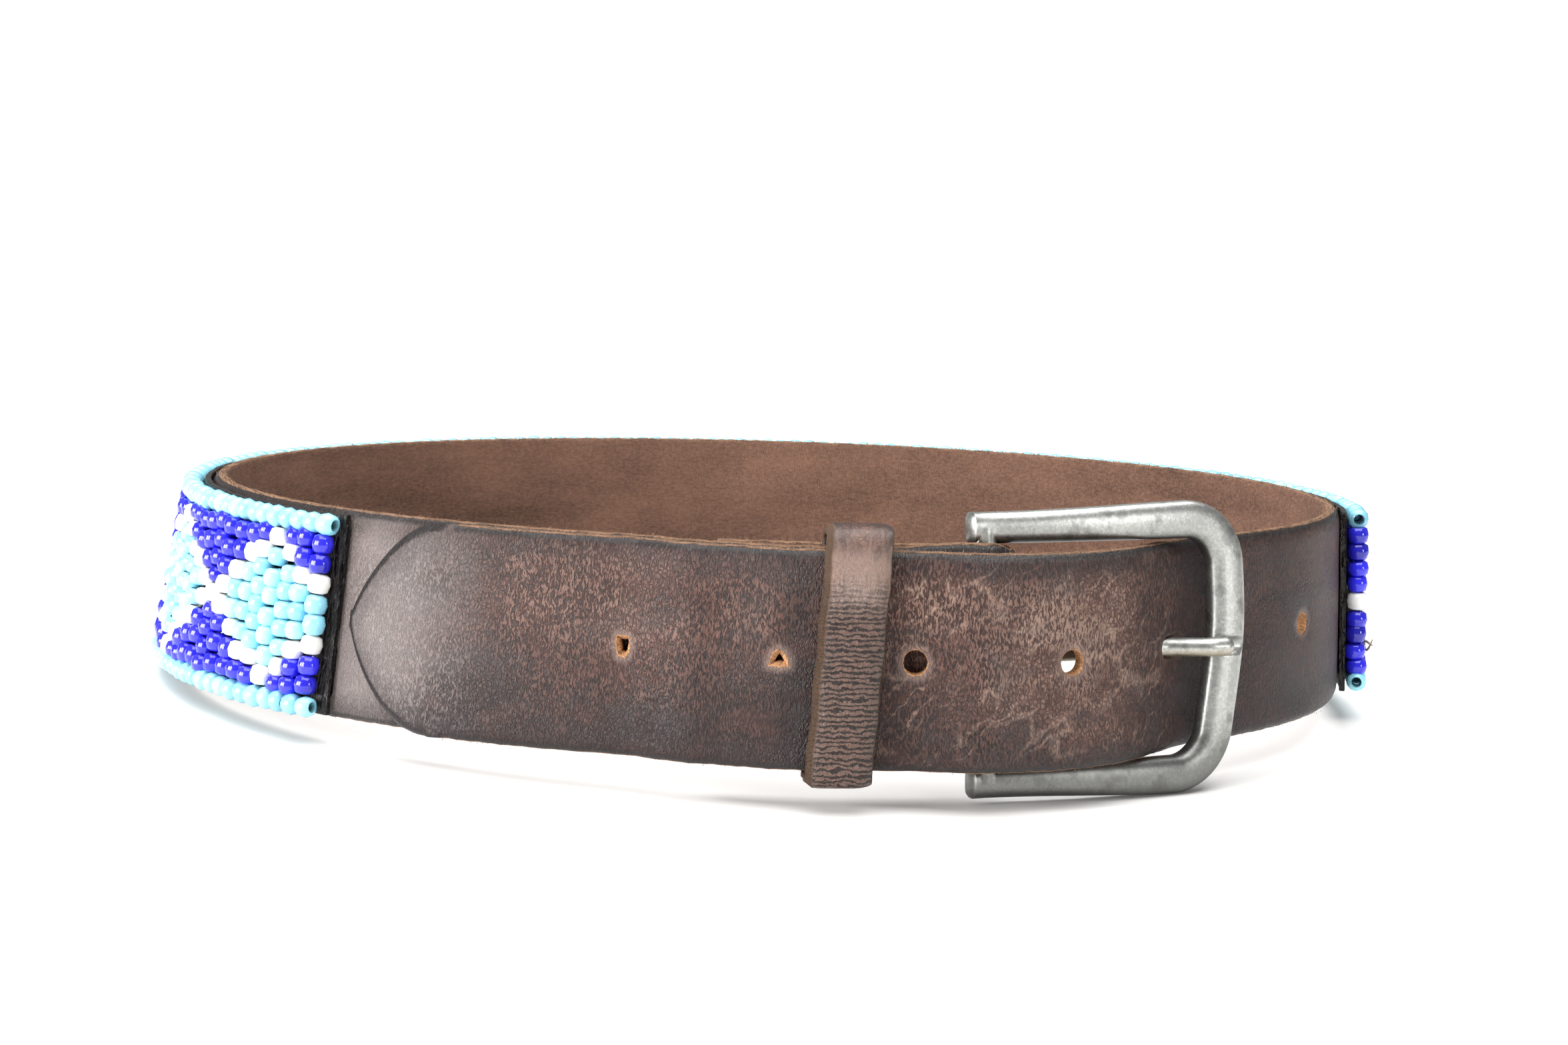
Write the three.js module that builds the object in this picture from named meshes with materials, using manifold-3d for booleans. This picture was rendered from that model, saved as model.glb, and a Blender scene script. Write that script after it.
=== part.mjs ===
// A buckled leather belt with a beaded band sewn round its back, standing on its lower edge.
// Millimetres, +Z up. The buckle faces -Y. The origin is under the middle of the belt, on the surface it stands on.

import * as THREE from "three";
import { mergeVertices } from "three/addons/utils/BufferGeometryUtils.js";
import Module from "manifold-3d";

const wasm = await Module();
wasm.setup();

// The waist that the belt goes round, an oval at the strap's mid height
const WAIST_HALF_WIDTH = 115.5;
const WAIST_HALF_DEPTH = 80;
const FLARE_LEFT_DEG = 11;
const FLARE_RIGHT_DEG = 2.7;

// Strap leather
const STRAP_WIDTH = 38;
const STRAP_THICKNESS = 3;
const STRAP_EDGE_CHAMFER = 0.6;
const LAYER_GAP = 0.3;

// Places along the oval, from the middle of the front, + towards the right of the wearer's view
const HEEL_BAR_AT = 43.3;
const FOLD_LENGTH = 46.5;
const TIP_OVERLAP = 114.8;
const TIP_POINT_LENGTH = 18.5;
const TIP_ROUNDNESS = 0.7;
const TIP_BLUNT_HALF_WIDTH = 1.6;
const SETTLE_LENGTH = 16;
const DROP_POWER = 1.5;
const DROP_PAST_BAR = 0.5;

// Buckle
const FRAME_REACH = 47.5;
const FRAME_WINDOW_HEIGHT = 39.4;
const FRAME_FRONT_WIDTH = 7;
const FRAME_HEEL_WIDTH = 5.6;
const FRAME_THICKNESS = 4.4;
const FRAME_CORNER_RADIUS = 8;
const FRAME_FRONT_BULGE = 1.2;
const FRAME_BOW = 1.6;
const FRAME_HEEL_OVERHANG = 2.8;
const FRAME_STANDOFF = 2;
const HEEL_BAR_RADIUS = 2.4;
const PRONG_RADIUS = 1.75;
const PRONG_NOTCH_DEPTH = 0.8;
const PRONG_TIP_PAST_BAR = 0.8;
const PRONG_BEND_LENGTH = 9;
const PRONG_BEND_BEFORE_BAR = 3;
const PRONG_EYE_WALL = 1.5;
const PRONG_EYE_WIDTH = 4;
const RUNNING_GAP = 0.3;
const SLOT_CLEARANCE = 0.6;
const SLOT_BACK_LENGTH = 8;

// Keeper loop
const KEEPER_FROM_HEEL = 23.7;
const KEEPER_WIDTH = 11.6;
const KEEPER_THICKNESS = 2;
const KEEPER_HEADROOM = 2.2;
const KEEPER_FOOTROOM = 0.9;
const KEEPER_CORNER_RADIUS = 2.6;
const KEEPER_SLANT_DEG = 4.2;

// Punched holes, as steps along the strap from the hole that the prong is in
const HOLE_RADIUS = 2.2;
const ROUND_HOLE_STEPS = [41, -21.5, -46.4];
const TORN_HOLES = [
  { step: -68.4, width: 1.7, height: 2.2 },
  { step: -95, width: 1.8, height: 2.8 },
];

// Beaded band
const BAND_LEFT_AT = -75;
const BAND_RIGHT_AT = 143;
const BACKING_WIDTH = 36.6;
const BACKING_THICKNESS = 1.2;
const BACKING_MARGIN = 1.6;
const BEAD_DIAMETER = 4;
const BEAD_ROW_DIAMETER = 4.2;
const FIELD_WIDTH = 28.6;
const FIELD_CHAMFER = 0.9;

// Mesh fineness
const LONG_STEP = 6;
const SHORT_STEP = 3;
const FOLD_STEPS = 9;
const HOLE_SIDES = 20;
const OVAL_SAMPLES = 4000;

const MATERIALS = {
  leather: new THREE.MeshStandardMaterial({ color: 0x4a3630, roughness: 0.55 }),
  keeper: new THREE.MeshStandardMaterial({ color: 0x553f36, roughness: 0.6 }),
  backing: new THREE.MeshStandardMaterial({ color: 0x1c1716, roughness: 0.6 }),
  field: new THREE.MeshStandardMaterial({ color: 0x3a3ae6, roughness: 0.15 }),
  edge: new THREE.MeshStandardMaterial({ color: 0x8fd3f0, roughness: 0.15 }),
  metal: new THREE.MeshStandardMaterial({ color: 0x9a9c98, roughness: 0.4, metalness: 1 }),
};

const UP = new THREE.Vector3(0, 0, 1);
const radians = THREE.MathUtils.degToRad;
const smooth = (t) => THREE.MathUtils.smoothstep(t, 0, 1);

// Arc length round the oval, from the middle of the front towards +X
const OVAL_TABLE = (() => {
  const lengths = [0];
  let last = new THREE.Vector2(0, -WAIST_HALF_DEPTH);
  for (let i = 1; i <= OVAL_SAMPLES; i++) {
    const angle = -Math.PI / 2 + (i / OVAL_SAMPLES) * 2 * Math.PI;
    const next = new THREE.Vector2(
      WAIST_HALF_WIDTH * Math.cos(angle), WAIST_HALF_DEPTH * Math.sin(angle));
    lengths.push(lengths[i - 1] + next.distanceTo(last));
    last = next;
  }
  return lengths;
})();
const GIRTH = OVAL_TABLE[OVAL_SAMPLES];

// The oval's point, outward direction, running direction and lean at one place along it
function ovalAt(place) {
  const along = THREE.MathUtils.euclideanModulo(place, GIRTH);
  let low = 0;
  let high = OVAL_SAMPLES;
  while (high - low > 1) {
    const middle = (low + high) >> 1;
    if (OVAL_TABLE[middle] <= along) low = middle;
    else high = middle;
  }
  const share = (along - OVAL_TABLE[low]) / (OVAL_TABLE[high] - OVAL_TABLE[low]);
  const angle = -Math.PI / 2 + ((low + share) / OVAL_SAMPLES) * 2 * Math.PI;
  const point = new THREE.Vector3(
    WAIST_HALF_WIDTH * Math.cos(angle), WAIST_HALF_DEPTH * Math.sin(angle), 0);
  const out = new THREE.Vector3(
    Math.cos(angle) / WAIST_HALF_WIDTH, Math.sin(angle) / WAIST_HALF_DEPTH, 0).normalize();
  const run = new THREE.Vector3(-out.y, out.x, 0);
  const middleFlare = (FLARE_LEFT_DEG + FLARE_RIGHT_DEG) / 2;
  const swing = (FLARE_RIGHT_DEG - FLARE_LEFT_DEG) / 2;
  const lean = Math.tan(radians(middleFlare + swing * Math.cos(angle)));
  return { point, out, run, lean };
}

// A point at a place along the oval, a distance out from it and a height above mid strap
function beltPoint(place, offset, height) {
  const { point, out, lean } = ovalAt(place);
  return point.clone().addScaledVector(out, offset - height * lean).addScaledVector(UP, height);
}

// Turns a geometry into a solid, and a solid back into a geometry
function solidOf(geometry) {
  const bare = geometry.clone();
  bare.deleteAttribute("normal");
  bare.deleteAttribute("uv");
  const merged = mergeVertices(bare, 1e-4);
  return new wasm.Manifold(new wasm.Mesh({
    numProp: 3,
    vertProperties: merged.attributes.position.array,
    triVerts: new Uint32Array(merged.index.array),
  }));
}

function geometryOf(solid) {
  const mesh = solid.getMesh();
  const positions = new Float32Array(mesh.numVert * 3);
  for (let i = 0; i < mesh.numVert; i++) {
    const from = i * mesh.numProp;
    positions.set(mesh.vertProperties.subarray(from, from + 3), i * 3);
  }
  return new THREE.BufferGeometry()
    .setAttribute("position", new THREE.BufferAttribute(positions, 3))
    .setIndex(new THREE.BufferAttribute(mesh.triVerts, 1));
}

// A closed skin through rings of equally many points. A looped one joins its last ring to its first.
function loft(rings, looped = false) {
  const sides = rings[0].length;
  const positions = rings.flat().flatMap((p) => [p.x, p.y, p.z]);
  const faces = [];
  const spans = looped ? rings.length : rings.length - 1;
  for (let r = 0; r < spans; r++) {
    const next = (r + 1) % rings.length;
    for (let i = 0; i < sides; i++) {
      const j = (i + 1) % sides;
      const [a, b, c, d] = [r * sides + i, r * sides + j, next * sides + j, next * sides + i];
      faces.push(a, b, c, a, c, d);
    }
  }
  if (!looped) {
    const end = (rings.length - 1) * sides;
    for (let i = 1; i < sides - 1; i++) {
      faces.push(0, i + 1, i, end, end + i, end + i + 1);
    }
  }
  const geometry = new THREE.BufferGeometry()
    .setAttribute("position", new THREE.Float32BufferAttribute(positions, 3))
    .setIndex(faces);
  if (signedVolume(geometry) < 0) geometry.index.array.reverse();
  return geometry;
}

function signedVolume(geometry) {
  const at = geometry.attributes.position;
  const index = geometry.index.array;
  const corner = (i) => new THREE.Vector3().fromBufferAttribute(at, index[i]);
  let six = 0;
  for (let i = 0; i < index.length; i += 3) {
    six += corner(i).dot(corner(i + 1).cross(corner(i + 2)));
  }
  return six / 6;
}

// A rectangle with cut corners, as [across, up] pairs
function cutRectangle(halfAcross, halfUp, cut) {
  const c = Math.min(cut, halfAcross * 0.8, halfUp * 0.8);
  return [
    [halfAcross, -halfUp + c], [halfAcross, halfUp - c], [halfAcross - c, halfUp], [c - halfAcross, halfUp],
    [-halfAcross, halfUp - c], [-halfAcross, c - halfUp], [c - halfAcross, -halfUp], [halfAcross - c, -halfUp],
  ];
}

function circle(radius, sides) {
  return Array.from({ length: sides }, (_, i) => {
    const angle = ((i + 0.5) / sides) * 2 * Math.PI;
    return [radius * Math.cos(angle), radius * Math.sin(angle)];
  });
}

// Places from one to another in equal steps no longer than the one asked for
function placesBetween(from, to, step) {
  const count = Math.max(1, Math.ceil(Math.abs(to - from) / step));
  return Array.from({ length: count + 1 }, (_, i) => from + ((to - from) * i) / count);
}

// How far out each layer's middle lies
const HALF_STRAP = STRAP_THICKNESS / 2;
const ON_BODY = HALF_STRAP;
const HEEL_BAR_OUT = STRAP_THICKNESS + RUNNING_GAP + HEEL_BAR_RADIUS;
const FOLD_RADIUS = HEEL_BAR_RADIUS + RUNNING_GAP + HALF_STRAP;
const OVER_BAR = HEEL_BAR_OUT + FOLD_RADIUS;
const OVER_FOLD_END = STRAP_THICKNESS + LAYER_GAP + HALF_STRAP;
const KEEPER_BACK_OUT = STRAP_THICKNESS + LAYER_GAP + KEEPER_THICKNESS / 2;
const OVER_KEEPER = KEEPER_BACK_OUT + KEEPER_THICKNESS / 2 + LAYER_GAP + HALF_STRAP;
const KEEPER_AT = HEEL_BAR_AT - KEEPER_FROM_HEEL;
const KEEPER_LEVEL_HALF = KEEPER_WIDTH / 2 + (STRAP_WIDTH / 2) * Math.tan(radians(KEEPER_SLANT_DEG)) + 1;
const FOLD_END_AT = HEEL_BAR_AT - FOLD_LENGTH;
const TIP_AT = HEEL_BAR_AT - TIP_OVERLAP;

// Levels of the buckle end's outer layer. Between two rows it eases from one level to the next.
const UNDER_LEVELS = [
  { place: FOLD_END_AT - SETTLE_LENGTH, level: ON_BODY },
  { place: FOLD_END_AT - 1, level: OVER_FOLD_END },
  { place: KEEPER_AT - KEEPER_LEVEL_HALF, level: OVER_KEEPER },
  { place: KEEPER_AT + KEEPER_LEVEL_HALF, level: OVER_KEEPER },
  { place: HEEL_BAR_AT, level: OVER_BAR },
];

function underOffset(place) {
  if (place <= UNDER_LEVELS[0].place) return UNDER_LEVELS[0].level;
  const next = UNDER_LEVELS.findIndex((row) => row.place >= place);
  if (next < 0) return OVER_BAR;
  const a = UNDER_LEVELS[next - 1];
  const b = UNDER_LEVELS[next];
  const share = (place - a.place) / Math.max(b.place - a.place, 1e-6);
  return THREE.MathUtils.lerp(a.level, b.level, smooth(share));
}

// The frame's front bar stands off the strap, a frame's reach from the heel bar
const HEEL_POINT = beltPoint(HEEL_BAR_AT, HEEL_BAR_OUT, 0);
const FRONT_BAR_OUT = STRAP_THICKNESS + FRAME_STANDOFF + FRAME_THICKNESS / 2;
const FRONT_BAR_AT = (() => {
  let near = HEEL_BAR_AT;
  let far = HEEL_BAR_AT + 2 * FRAME_REACH;
  for (let i = 0; i < 50; i++) {
    const middle = (near + far) / 2;
    const reach = beltPoint(middle, FRONT_BAR_OUT, 0).distanceTo(HEEL_POINT);
    if (reach < FRAME_REACH) near = middle;
    else far = middle;
  }
  return (near + far) / 2;
})();
const DROP_END_AT = FRONT_BAR_AT + DROP_PAST_BAR;

// The tip end lies over the other layers, and drops through the buckle's window to the body
function overOffset(place) {
  const top = OVER_BAR + STRAP_THICKNESS + LAYER_GAP;
  if (place <= HEEL_BAR_AT) return underOffset(place) + STRAP_THICKNESS + LAYER_GAP;
  const share = Math.min((place - HEEL_BAR_AT) / (DROP_END_AT - HEEL_BAR_AT), 1);
  return THREE.MathUtils.lerp(top, ON_BODY, smooth(share ** DROP_POWER));
}

// The buckle's own axes: along from heel to front, out from the body, and up with the strap's lean
const BUCKLE_ALONG = beltPoint(FRONT_BAR_AT, FRONT_BAR_OUT, 0).sub(HEEL_POINT).normalize();
const BUCKLE_LEVEL_OUT = new THREE.Vector3(BUCKLE_ALONG.y, -BUCKLE_ALONG.x, 0);
const BUCKLE_LEAN = Math.atan(ovalAt(HEEL_BAR_AT).lean);
const BUCKLE_OUT = BUCKLE_LEVEL_OUT.clone().multiplyScalar(Math.cos(BUCKLE_LEAN))
  .addScaledVector(UP, Math.sin(BUCKLE_LEAN));
const BUCKLE_UP = UP.clone().multiplyScalar(Math.cos(BUCKLE_LEAN))
  .addScaledVector(BUCKLE_LEVEL_OUT, -Math.sin(BUCKLE_LEAN));
const BUCKLE_PLACE = new THREE.Matrix4()
  .makeBasis(BUCKLE_ALONG, BUCKLE_OUT.clone().negate(), BUCKLE_UP)
  .setPosition(HEEL_POINT);

// In the buckle's axes x runs along, -y out and z up. The prong leaves the bar level and bends up to the front bar.
const PRONG_REST = FRAME_THICKNESS / 2 + PRONG_RADIUS - PRONG_NOTCH_DEPTH;
const PRONG_BEND_TO = FRAME_REACH - PRONG_BEND_BEFORE_BAR;
const PRONG_BEND_FROM = PRONG_BEND_TO - PRONG_BEND_LENGTH;
const PRONG_TIP = FRAME_REACH + PRONG_TIP_PAST_BAR;

function prongLevel(x) {
  return -PRONG_REST * smooth((x - PRONG_BEND_FROM) / PRONG_BEND_LENGTH);
}

function prongSolid(extra) {
  const radius = PRONG_RADIUS + extra;
  const root = HEEL_BAR_RADIUS + RUNNING_GAP + PRONG_EYE_WALL / 2;
  const round = PRONG_TIP - PRONG_RADIUS;
  const stations = placesBetween(root, PRONG_BEND_FROM, 12)
    .concat(placesBetween(PRONG_BEND_FROM, PRONG_BEND_TO, 1.5).slice(1))
    .map((x) => ({ x, radius }));
  for (const angle of placesBetween(0, Math.PI / 2 - 0.15, 0.36)) {
    stations.push({ x: round + radius * Math.sin(angle), radius: radius * Math.cos(angle) });
  }
  return solidOf(loft(stations.map(({ x, radius: ringRadius }) => {
    const slope = (prongLevel(x + 0.1) - prongLevel(x - 0.1)) / 0.2;
    const across = new THREE.Vector3(-slope, 1, 0).normalize();
    return circle(ringRadius, 14).map(([a, up]) =>
      new THREE.Vector3(x, prongLevel(x), up).addScaledVector(across, a));
  })));
}

// A ring round the heel bar, with the shaft on it
function makeProng() {
  const inner = HEEL_BAR_RADIUS + RUNNING_GAP;
  const outer = inner + PRONG_EYE_WALL;
  const half = PRONG_EYE_WIDTH / 2;
  const ring = new THREE.LatheGeometry([
    new THREE.Vector2(inner, -half), new THREE.Vector2(outer, -half),
    new THREE.Vector2(outer, half), new THREE.Vector2(inner, half), new THREE.Vector2(inner, -half),
  ], 24).rotateX(Math.PI / 2);
  return geometryOf(solidOf(ring).add(prongSolid(0))).applyMatrix4(BUCKLE_PLACE);
}

// The frame is a bar swept round three sides, with the heel bar across its open end
function makeFrame() {
  const innerHalf = FRAME_WINDOW_HEIGHT / 2;
  const middleHalf = innerHalf + FRAME_FRONT_WIDTH / 2;
  const corner = FRAME_CORNER_RADIUS;
  const path = [];
  for (const x of placesBetween(-FRAME_HEEL_OVERHANG, FRAME_REACH - corner, 5)) {
    path.push([x, middleHalf]);
  }
  for (let i = 1; i <= 6; i++) {
    const angle = Math.PI / 2 - (i / 6) * (Math.PI / 2);
    path.push([
      FRAME_REACH - corner + corner * Math.cos(angle), middleHalf - corner + corner * Math.sin(angle)]);
  }
  for (const z of placesBetween(middleHalf - corner, 0, 5).slice(1)) path.push([FRAME_REACH, z]);
  const lower = path.slice(0, -1).reverse().map(([x, z]) => [x, -z]);
  const line = path.concat(lower).map(([x, z]) => {
    const bulge = FRAME_FRONT_BULGE * (1 - (z / middleHalf) ** 2) * smooth(x / FRAME_REACH);
    return new THREE.Vector2(x + bulge, z);
  });
  const rings = line.map((at, i) => {
    const before = line[Math.max(i - 1, 0)];
    const after = line[Math.min(i + 1, line.length - 1)];
    const way = after.clone().sub(before).normalize();
    const outward = new THREE.Vector2(-way.y, way.x);
    const share = THREE.MathUtils.clamp(at.x / FRAME_REACH, 0, 1);
    const width = THREE.MathUtils.lerp(FRAME_HEEL_WIDTH, FRAME_FRONT_WIDTH, smooth(share));
    const inset = (FRAME_FRONT_WIDTH - width) / 2;
    const bow = FRAME_BOW * Math.sin(share * Math.PI);
    return cutRectangle(width / 2, FRAME_THICKNESS / 2, 1.3).map(([across, up]) => {
      const spot = at.clone().addScaledVector(outward, across - inset);
      return new THREE.Vector3(spot.x, -up - bow, spot.y);
    });
  });
  const bar = new THREE.CylinderGeometry(
    HEEL_BAR_RADIUS, HEEL_BAR_RADIUS, FRAME_WINDOW_HEIGHT + FRAME_HEEL_WIDTH, 16).rotateX(Math.PI / 2);
  const solid = solidOf(loft(rings)).add(solidOf(bar)).subtract(prongSolid(RUNNING_GAP));
  return geometryOf(solid).applyMatrix4(BUCKLE_PLACE);
}

// The strap's middle line in plan, from the folded end round the bar and the waist to the tip
function strapStations() {
  const stations = [];
  const add = (place, offset, half = STRAP_WIDTH / 2) => stations.push({ place, offset, half });
  for (const place of placesBetween(FOLD_END_AT, HEEL_BAR_AT, LONG_STEP)) add(place, ON_BODY);
  for (let i = 1; i < FOLD_STEPS; i++) {
    const angle = (i / FOLD_STEPS) * Math.PI;
    add(HEEL_BAR_AT + FOLD_RADIUS * Math.sin(angle), HEEL_BAR_OUT - FOLD_RADIUS * Math.cos(angle));
  }
  const settled = UNDER_LEVELS[0].place;
  for (const place of placesBetween(HEEL_BAR_AT, settled, SHORT_STEP)) add(place, underOffset(place));
  for (const place of placesBetween(settled, DROP_END_AT - GIRTH, LONG_STEP).slice(1)) add(place, ON_BODY);
  for (const place of placesBetween(DROP_END_AT, settled, SHORT_STEP).slice(1)) add(place, overOffset(place));
  const pointFrom = TIP_AT + TIP_POINT_LENGTH;
  for (const place of placesBetween(settled, pointFrom, LONG_STEP).slice(1)) add(place, overOffset(place));
  for (const share of [0.82, 0.66, 0.5, 0.36, 0.24, 0.14, 0.06, 0]) {
    const half = (STRAP_WIDTH / 2) * Math.sin((share * Math.PI) / 2) ** TIP_ROUNDNESS;
    add(TIP_AT + share * TIP_POINT_LENGTH, overOffset(TIP_AT), Math.max(half, TIP_BLUNT_HALF_WIDTH));
  }
  return stations;
}

function makeStrap(cutters) {
  const stations = strapStations();
  const line = stations.map(({ place, offset }) => beltPoint(place, offset, 0));
  const rings = stations.map(({ place, half }, i) => {
    const before = line[Math.max(i - 1, 0)];
    const after = line[Math.min(i + 1, line.length - 1)];
    const way = after.clone().sub(before).normalize();
    const across = new THREE.Vector3(way.y, -way.x, 0);
    const { out, lean } = ovalAt(place);
    return cutRectangle(HALF_STRAP, half, STRAP_EDGE_CHAMFER).map(([a, up]) =>
      line[i].clone().addScaledVector(across, a).addScaledVector(out, -up * lean).addScaledVector(UP, up));
  });
  let strap = solidOf(loft(rings));
  for (const cutter of cutters) strap = strap.subtract(cutter);
  return geometryOf(strap);
}

// Where the strap's middle crosses the prong's middle line, and so where the prong's hole is
const PRONG_HOLE_AT = (() => {
  const toBuckle = BUCKLE_PLACE.clone().invert();
  const above = (place) => {
    const p = beltPoint(place, overOffset(place), 0).applyMatrix4(toBuckle);
    return prongLevel(p.x) - p.y;
  };
  let near = HEEL_BAR_AT;
  let far = FRONT_BAR_AT;
  for (let i = 0; i < 50; i++) {
    const middle = (near + far) / 2;
    if (above(middle) > 0) near = middle;
    else far = middle;
  }
  return (near + far) / 2;
})();

// A cutter through the strap's thickness at one place, from its section as a shape
function punch(place, shape) {
  const { out, run } = ovalAt(place);
  const depth = 2 * STRAP_THICKNESS;
  const slope = (overOffset(place + 1) - overOffset(place - 1)) / 2;
  const along = run.clone().addScaledVector(out, slope).normalize();
  const through = new THREE.Vector3().crossVectors(along, UP).normalize();
  const cutter = new THREE.ExtrudeGeometry(shape, { depth, bevelEnabled: false, curveSegments: HOLE_SIDES });
  cutter.translate(0, 0, -depth / 2);
  cutter.applyMatrix4(new THREE.Matrix4().makeBasis(along, UP, through));
  const middle = beltPoint(place, overOffset(place), 0);
  return solidOf(cutter.translate(middle.x, middle.y, middle.z));
}

function roundShape(radius) {
  return new THREE.Shape().absarc(0, 0, radius, 0, 2 * Math.PI, false);
}

// A hole made with a blade: two straight sides and a torn lower corner
function tornShape({ width, height }) {
  return new THREE.Shape()
    .moveTo(-width / 2, height / 2)
    .lineTo(-width / 2 + width * 0.2, -height / 2)
    .lineTo(width * 0.3, -height * 0.25)
    .lineTo(width / 2, height / 2)
    .closePath();
}

// The prong's slot, through the fold and both layers beside it but not the tip end over them
function slotSolid() {
  const half = PRONG_EYE_WIDTH / 2 + SLOT_CLEARANCE;
  const front = HEEL_BAR_AT + FOLD_RADIUS + HALF_STRAP + SLOT_CLEARANCE;
  return solidOf(loft(placesBetween(HEEL_BAR_AT - SLOT_BACK_LENGTH, front, SHORT_STEP).map((place) => {
    const over = underOffset(Math.min(place, HEEL_BAR_AT)) + HALF_STRAP + LAYER_GAP / 2;
    const corners = [[-LAYER_GAP, -half], [over, -half], [over, half], [-LAYER_GAP, half]];
    return corners.map(([offset, height]) => beltPoint(place, offset, height));
  })));
}

function strapCutters() {
  const cutters = [punch(PRONG_HOLE_AT, roundShape(HOLE_RADIUS))];
  for (const step of ROUND_HOLE_STEPS) cutters.push(punch(PRONG_HOLE_AT + step, roundShape(HOLE_RADIUS)));
  for (const hole of TORN_HOLES) cutters.push(punch(PRONG_HOLE_AT + hole.step, tornShape(hole)));
  const place = (solid) => solidOf(geometryOf(solid).applyMatrix4(BUCKLE_PLACE));
  cutters.push(place(prongSolid(RUNNING_GAP)));
  cutters.push(slotSolid());
  return cutters;
}

// The keeper goes round the two outer layers, its back between them and the fold
function makeKeeper() {
  const { run } = ovalAt(KEEPER_AT);
  const back = KEEPER_BACK_OUT;
  const front = OVER_KEEPER + 2 * STRAP_THICKNESS + 2 * LAYER_GAP - HALF_STRAP + KEEPER_THICKNESS / 2;
  const top = STRAP_WIDTH / 2 + KEEPER_HEADROOM + KEEPER_THICKNESS / 2;
  const foot = -(STRAP_WIDTH / 2 + KEEPER_FOOTROOM + KEEPER_THICKNESS / 2);
  const r = KEEPER_CORNER_RADIUS;
  const outline = new THREE.Path();
  outline.absarc(front - r, top - r, r, 0, Math.PI / 2, false);
  outline.absarc(back + r, top - r, r, Math.PI / 2, Math.PI, false);
  outline.absarc(back + r, foot + r, r, Math.PI, 1.5 * Math.PI, false);
  outline.absarc(front - r, foot + r, r, 1.5 * Math.PI, 2 * Math.PI, false);
  outline.closePath();
  const points = outline.getPoints(5);
  const line = points.filter((p, i) => p.distanceTo(points[(i + 1) % points.length]) > 1e-3);
  const slant = Math.tan(radians(KEEPER_SLANT_DEG));
  const rings = line.map((at, i) => {
    const before = line[(i + line.length - 1) % line.length];
    const after = line[(i + 1) % line.length];
    const way = after.clone().sub(before).normalize();
    const outward = new THREE.Vector2(way.y, -way.x);
    return cutRectangle(KEEPER_THICKNESS / 2, KEEPER_WIDTH / 2, 0.4).map(([a, side]) => {
      const spot = at.clone().addScaledVector(outward, a);
      const { out, point, lean } = ovalAt(KEEPER_AT);
      return point.clone()
        .addScaledVector(out, spot.x - spot.y * lean)
        .addScaledVector(UP, spot.y)
        .addScaledVector(run, side + spot.y * slant);
    });
  });
  return loft(rings, true);
}

// A band of one section that runs the back way round between two places
function bandLoft(from, to, offset, height, section) {
  const places = placesBetween(from, to, LONG_STEP);
  return loft(places.map((place) => section.map(([across, up]) =>
    beltPoint(place, offset + across, height + up))));
}

const BAND_END_AT = BAND_RIGHT_AT - GIRTH;
const BACKING_OUT = STRAP_THICKNESS + LAYER_GAP + BACKING_THICKNESS / 2;
const BEADS_FOOT_OUT = BACKING_OUT + BACKING_THICKNESS / 2 + LAYER_GAP;
const BEADS_FROM = BAND_LEFT_AT - BACKING_MARGIN;
const BEADS_TO = BAND_END_AT + BACKING_MARGIN;
const ROW_HEIGHT = FIELD_WIDTH / 2 + LAYER_GAP + BEAD_ROW_DIAMETER / 2;

function makeBacking() {
  const section = cutRectangle(BACKING_THICKNESS / 2, BACKING_WIDTH / 2, 0.3);
  return bandLoft(BAND_LEFT_AT, BAND_END_AT, BACKING_OUT, 0, section);
}

function makeBeadField() {
  const section = cutRectangle(BEAD_DIAMETER / 2, FIELD_WIDTH / 2, FIELD_CHAMFER);
  return bandLoft(BEADS_FROM, BEADS_TO, BEADS_FOOT_OUT + BEAD_DIAMETER / 2, 0, section);
}

function makeBeadRow(height) {
  const section = circle(BEAD_ROW_DIAMETER / 2, 8);
  return bandLoft(BEADS_FROM, BEADS_TO, BEADS_FOOT_OUT + BEAD_ROW_DIAMETER / 2, height, section);
}

function addPiece(group, name, geometry, material) {
  const mesh = new THREE.Mesh(geometry, material);
  mesh.name = name;
  group.add(mesh);
}

// The lowest of some pieces' points once the belt leans by an angle about the buckle's length
function lowest(meshes, angle) {
  const up = UP.clone().applyAxisAngle(BUCKLE_ALONG, -angle);
  const point = new THREE.Vector3();
  let low = Infinity;
  for (const { geometry } of meshes) {
    const at = geometry.attributes.position;
    for (let i = 0; i < at.count; i++) low = Math.min(low, point.fromBufferAttribute(at, i).dot(up));
  }
  return low;
}

// Leans the belt until its buckle and the far side of its lower edge stand on one level
function restTilt(group) {
  const buckle = group.children.filter((mesh) => mesh.name.startsWith("buckle"));
  const rest = group.children.filter((mesh) => !buckle.includes(mesh));
  let level = 0;
  let steep = -0.3;
  for (let i = 0; i < 50; i++) {
    const middle = (level + steep) / 2;
    if (lowest(buckle, middle) < lowest(rest, middle)) level = middle;
    else steep = middle;
  }
  return new THREE.Quaternion().setFromAxisAngle(BUCKLE_ALONG, (level + steep) / 2);
}

const belt = new THREE.Group();
addPiece(belt, "leather_strap", makeStrap(strapCutters()), MATERIALS.leather);
addPiece(belt, "keeper_loop", makeKeeper(), MATERIALS.keeper);
addPiece(belt, "buckle_frame", makeFrame(), MATERIALS.metal);
addPiece(belt, "buckle_prong", makeProng(), MATERIALS.metal);
addPiece(belt, "bead_backing", makeBacking(), MATERIALS.backing);
addPiece(belt, "bead_field", makeBeadField(), MATERIALS.field);
addPiece(belt, "bead_row_top", makeBeadRow(ROW_HEIGHT), MATERIALS.edge);
addPiece(belt, "bead_row_bottom", makeBeadRow(-ROW_HEIGHT), MATERIALS.edge);
belt.quaternion.copy(restTilt(belt));

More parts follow.
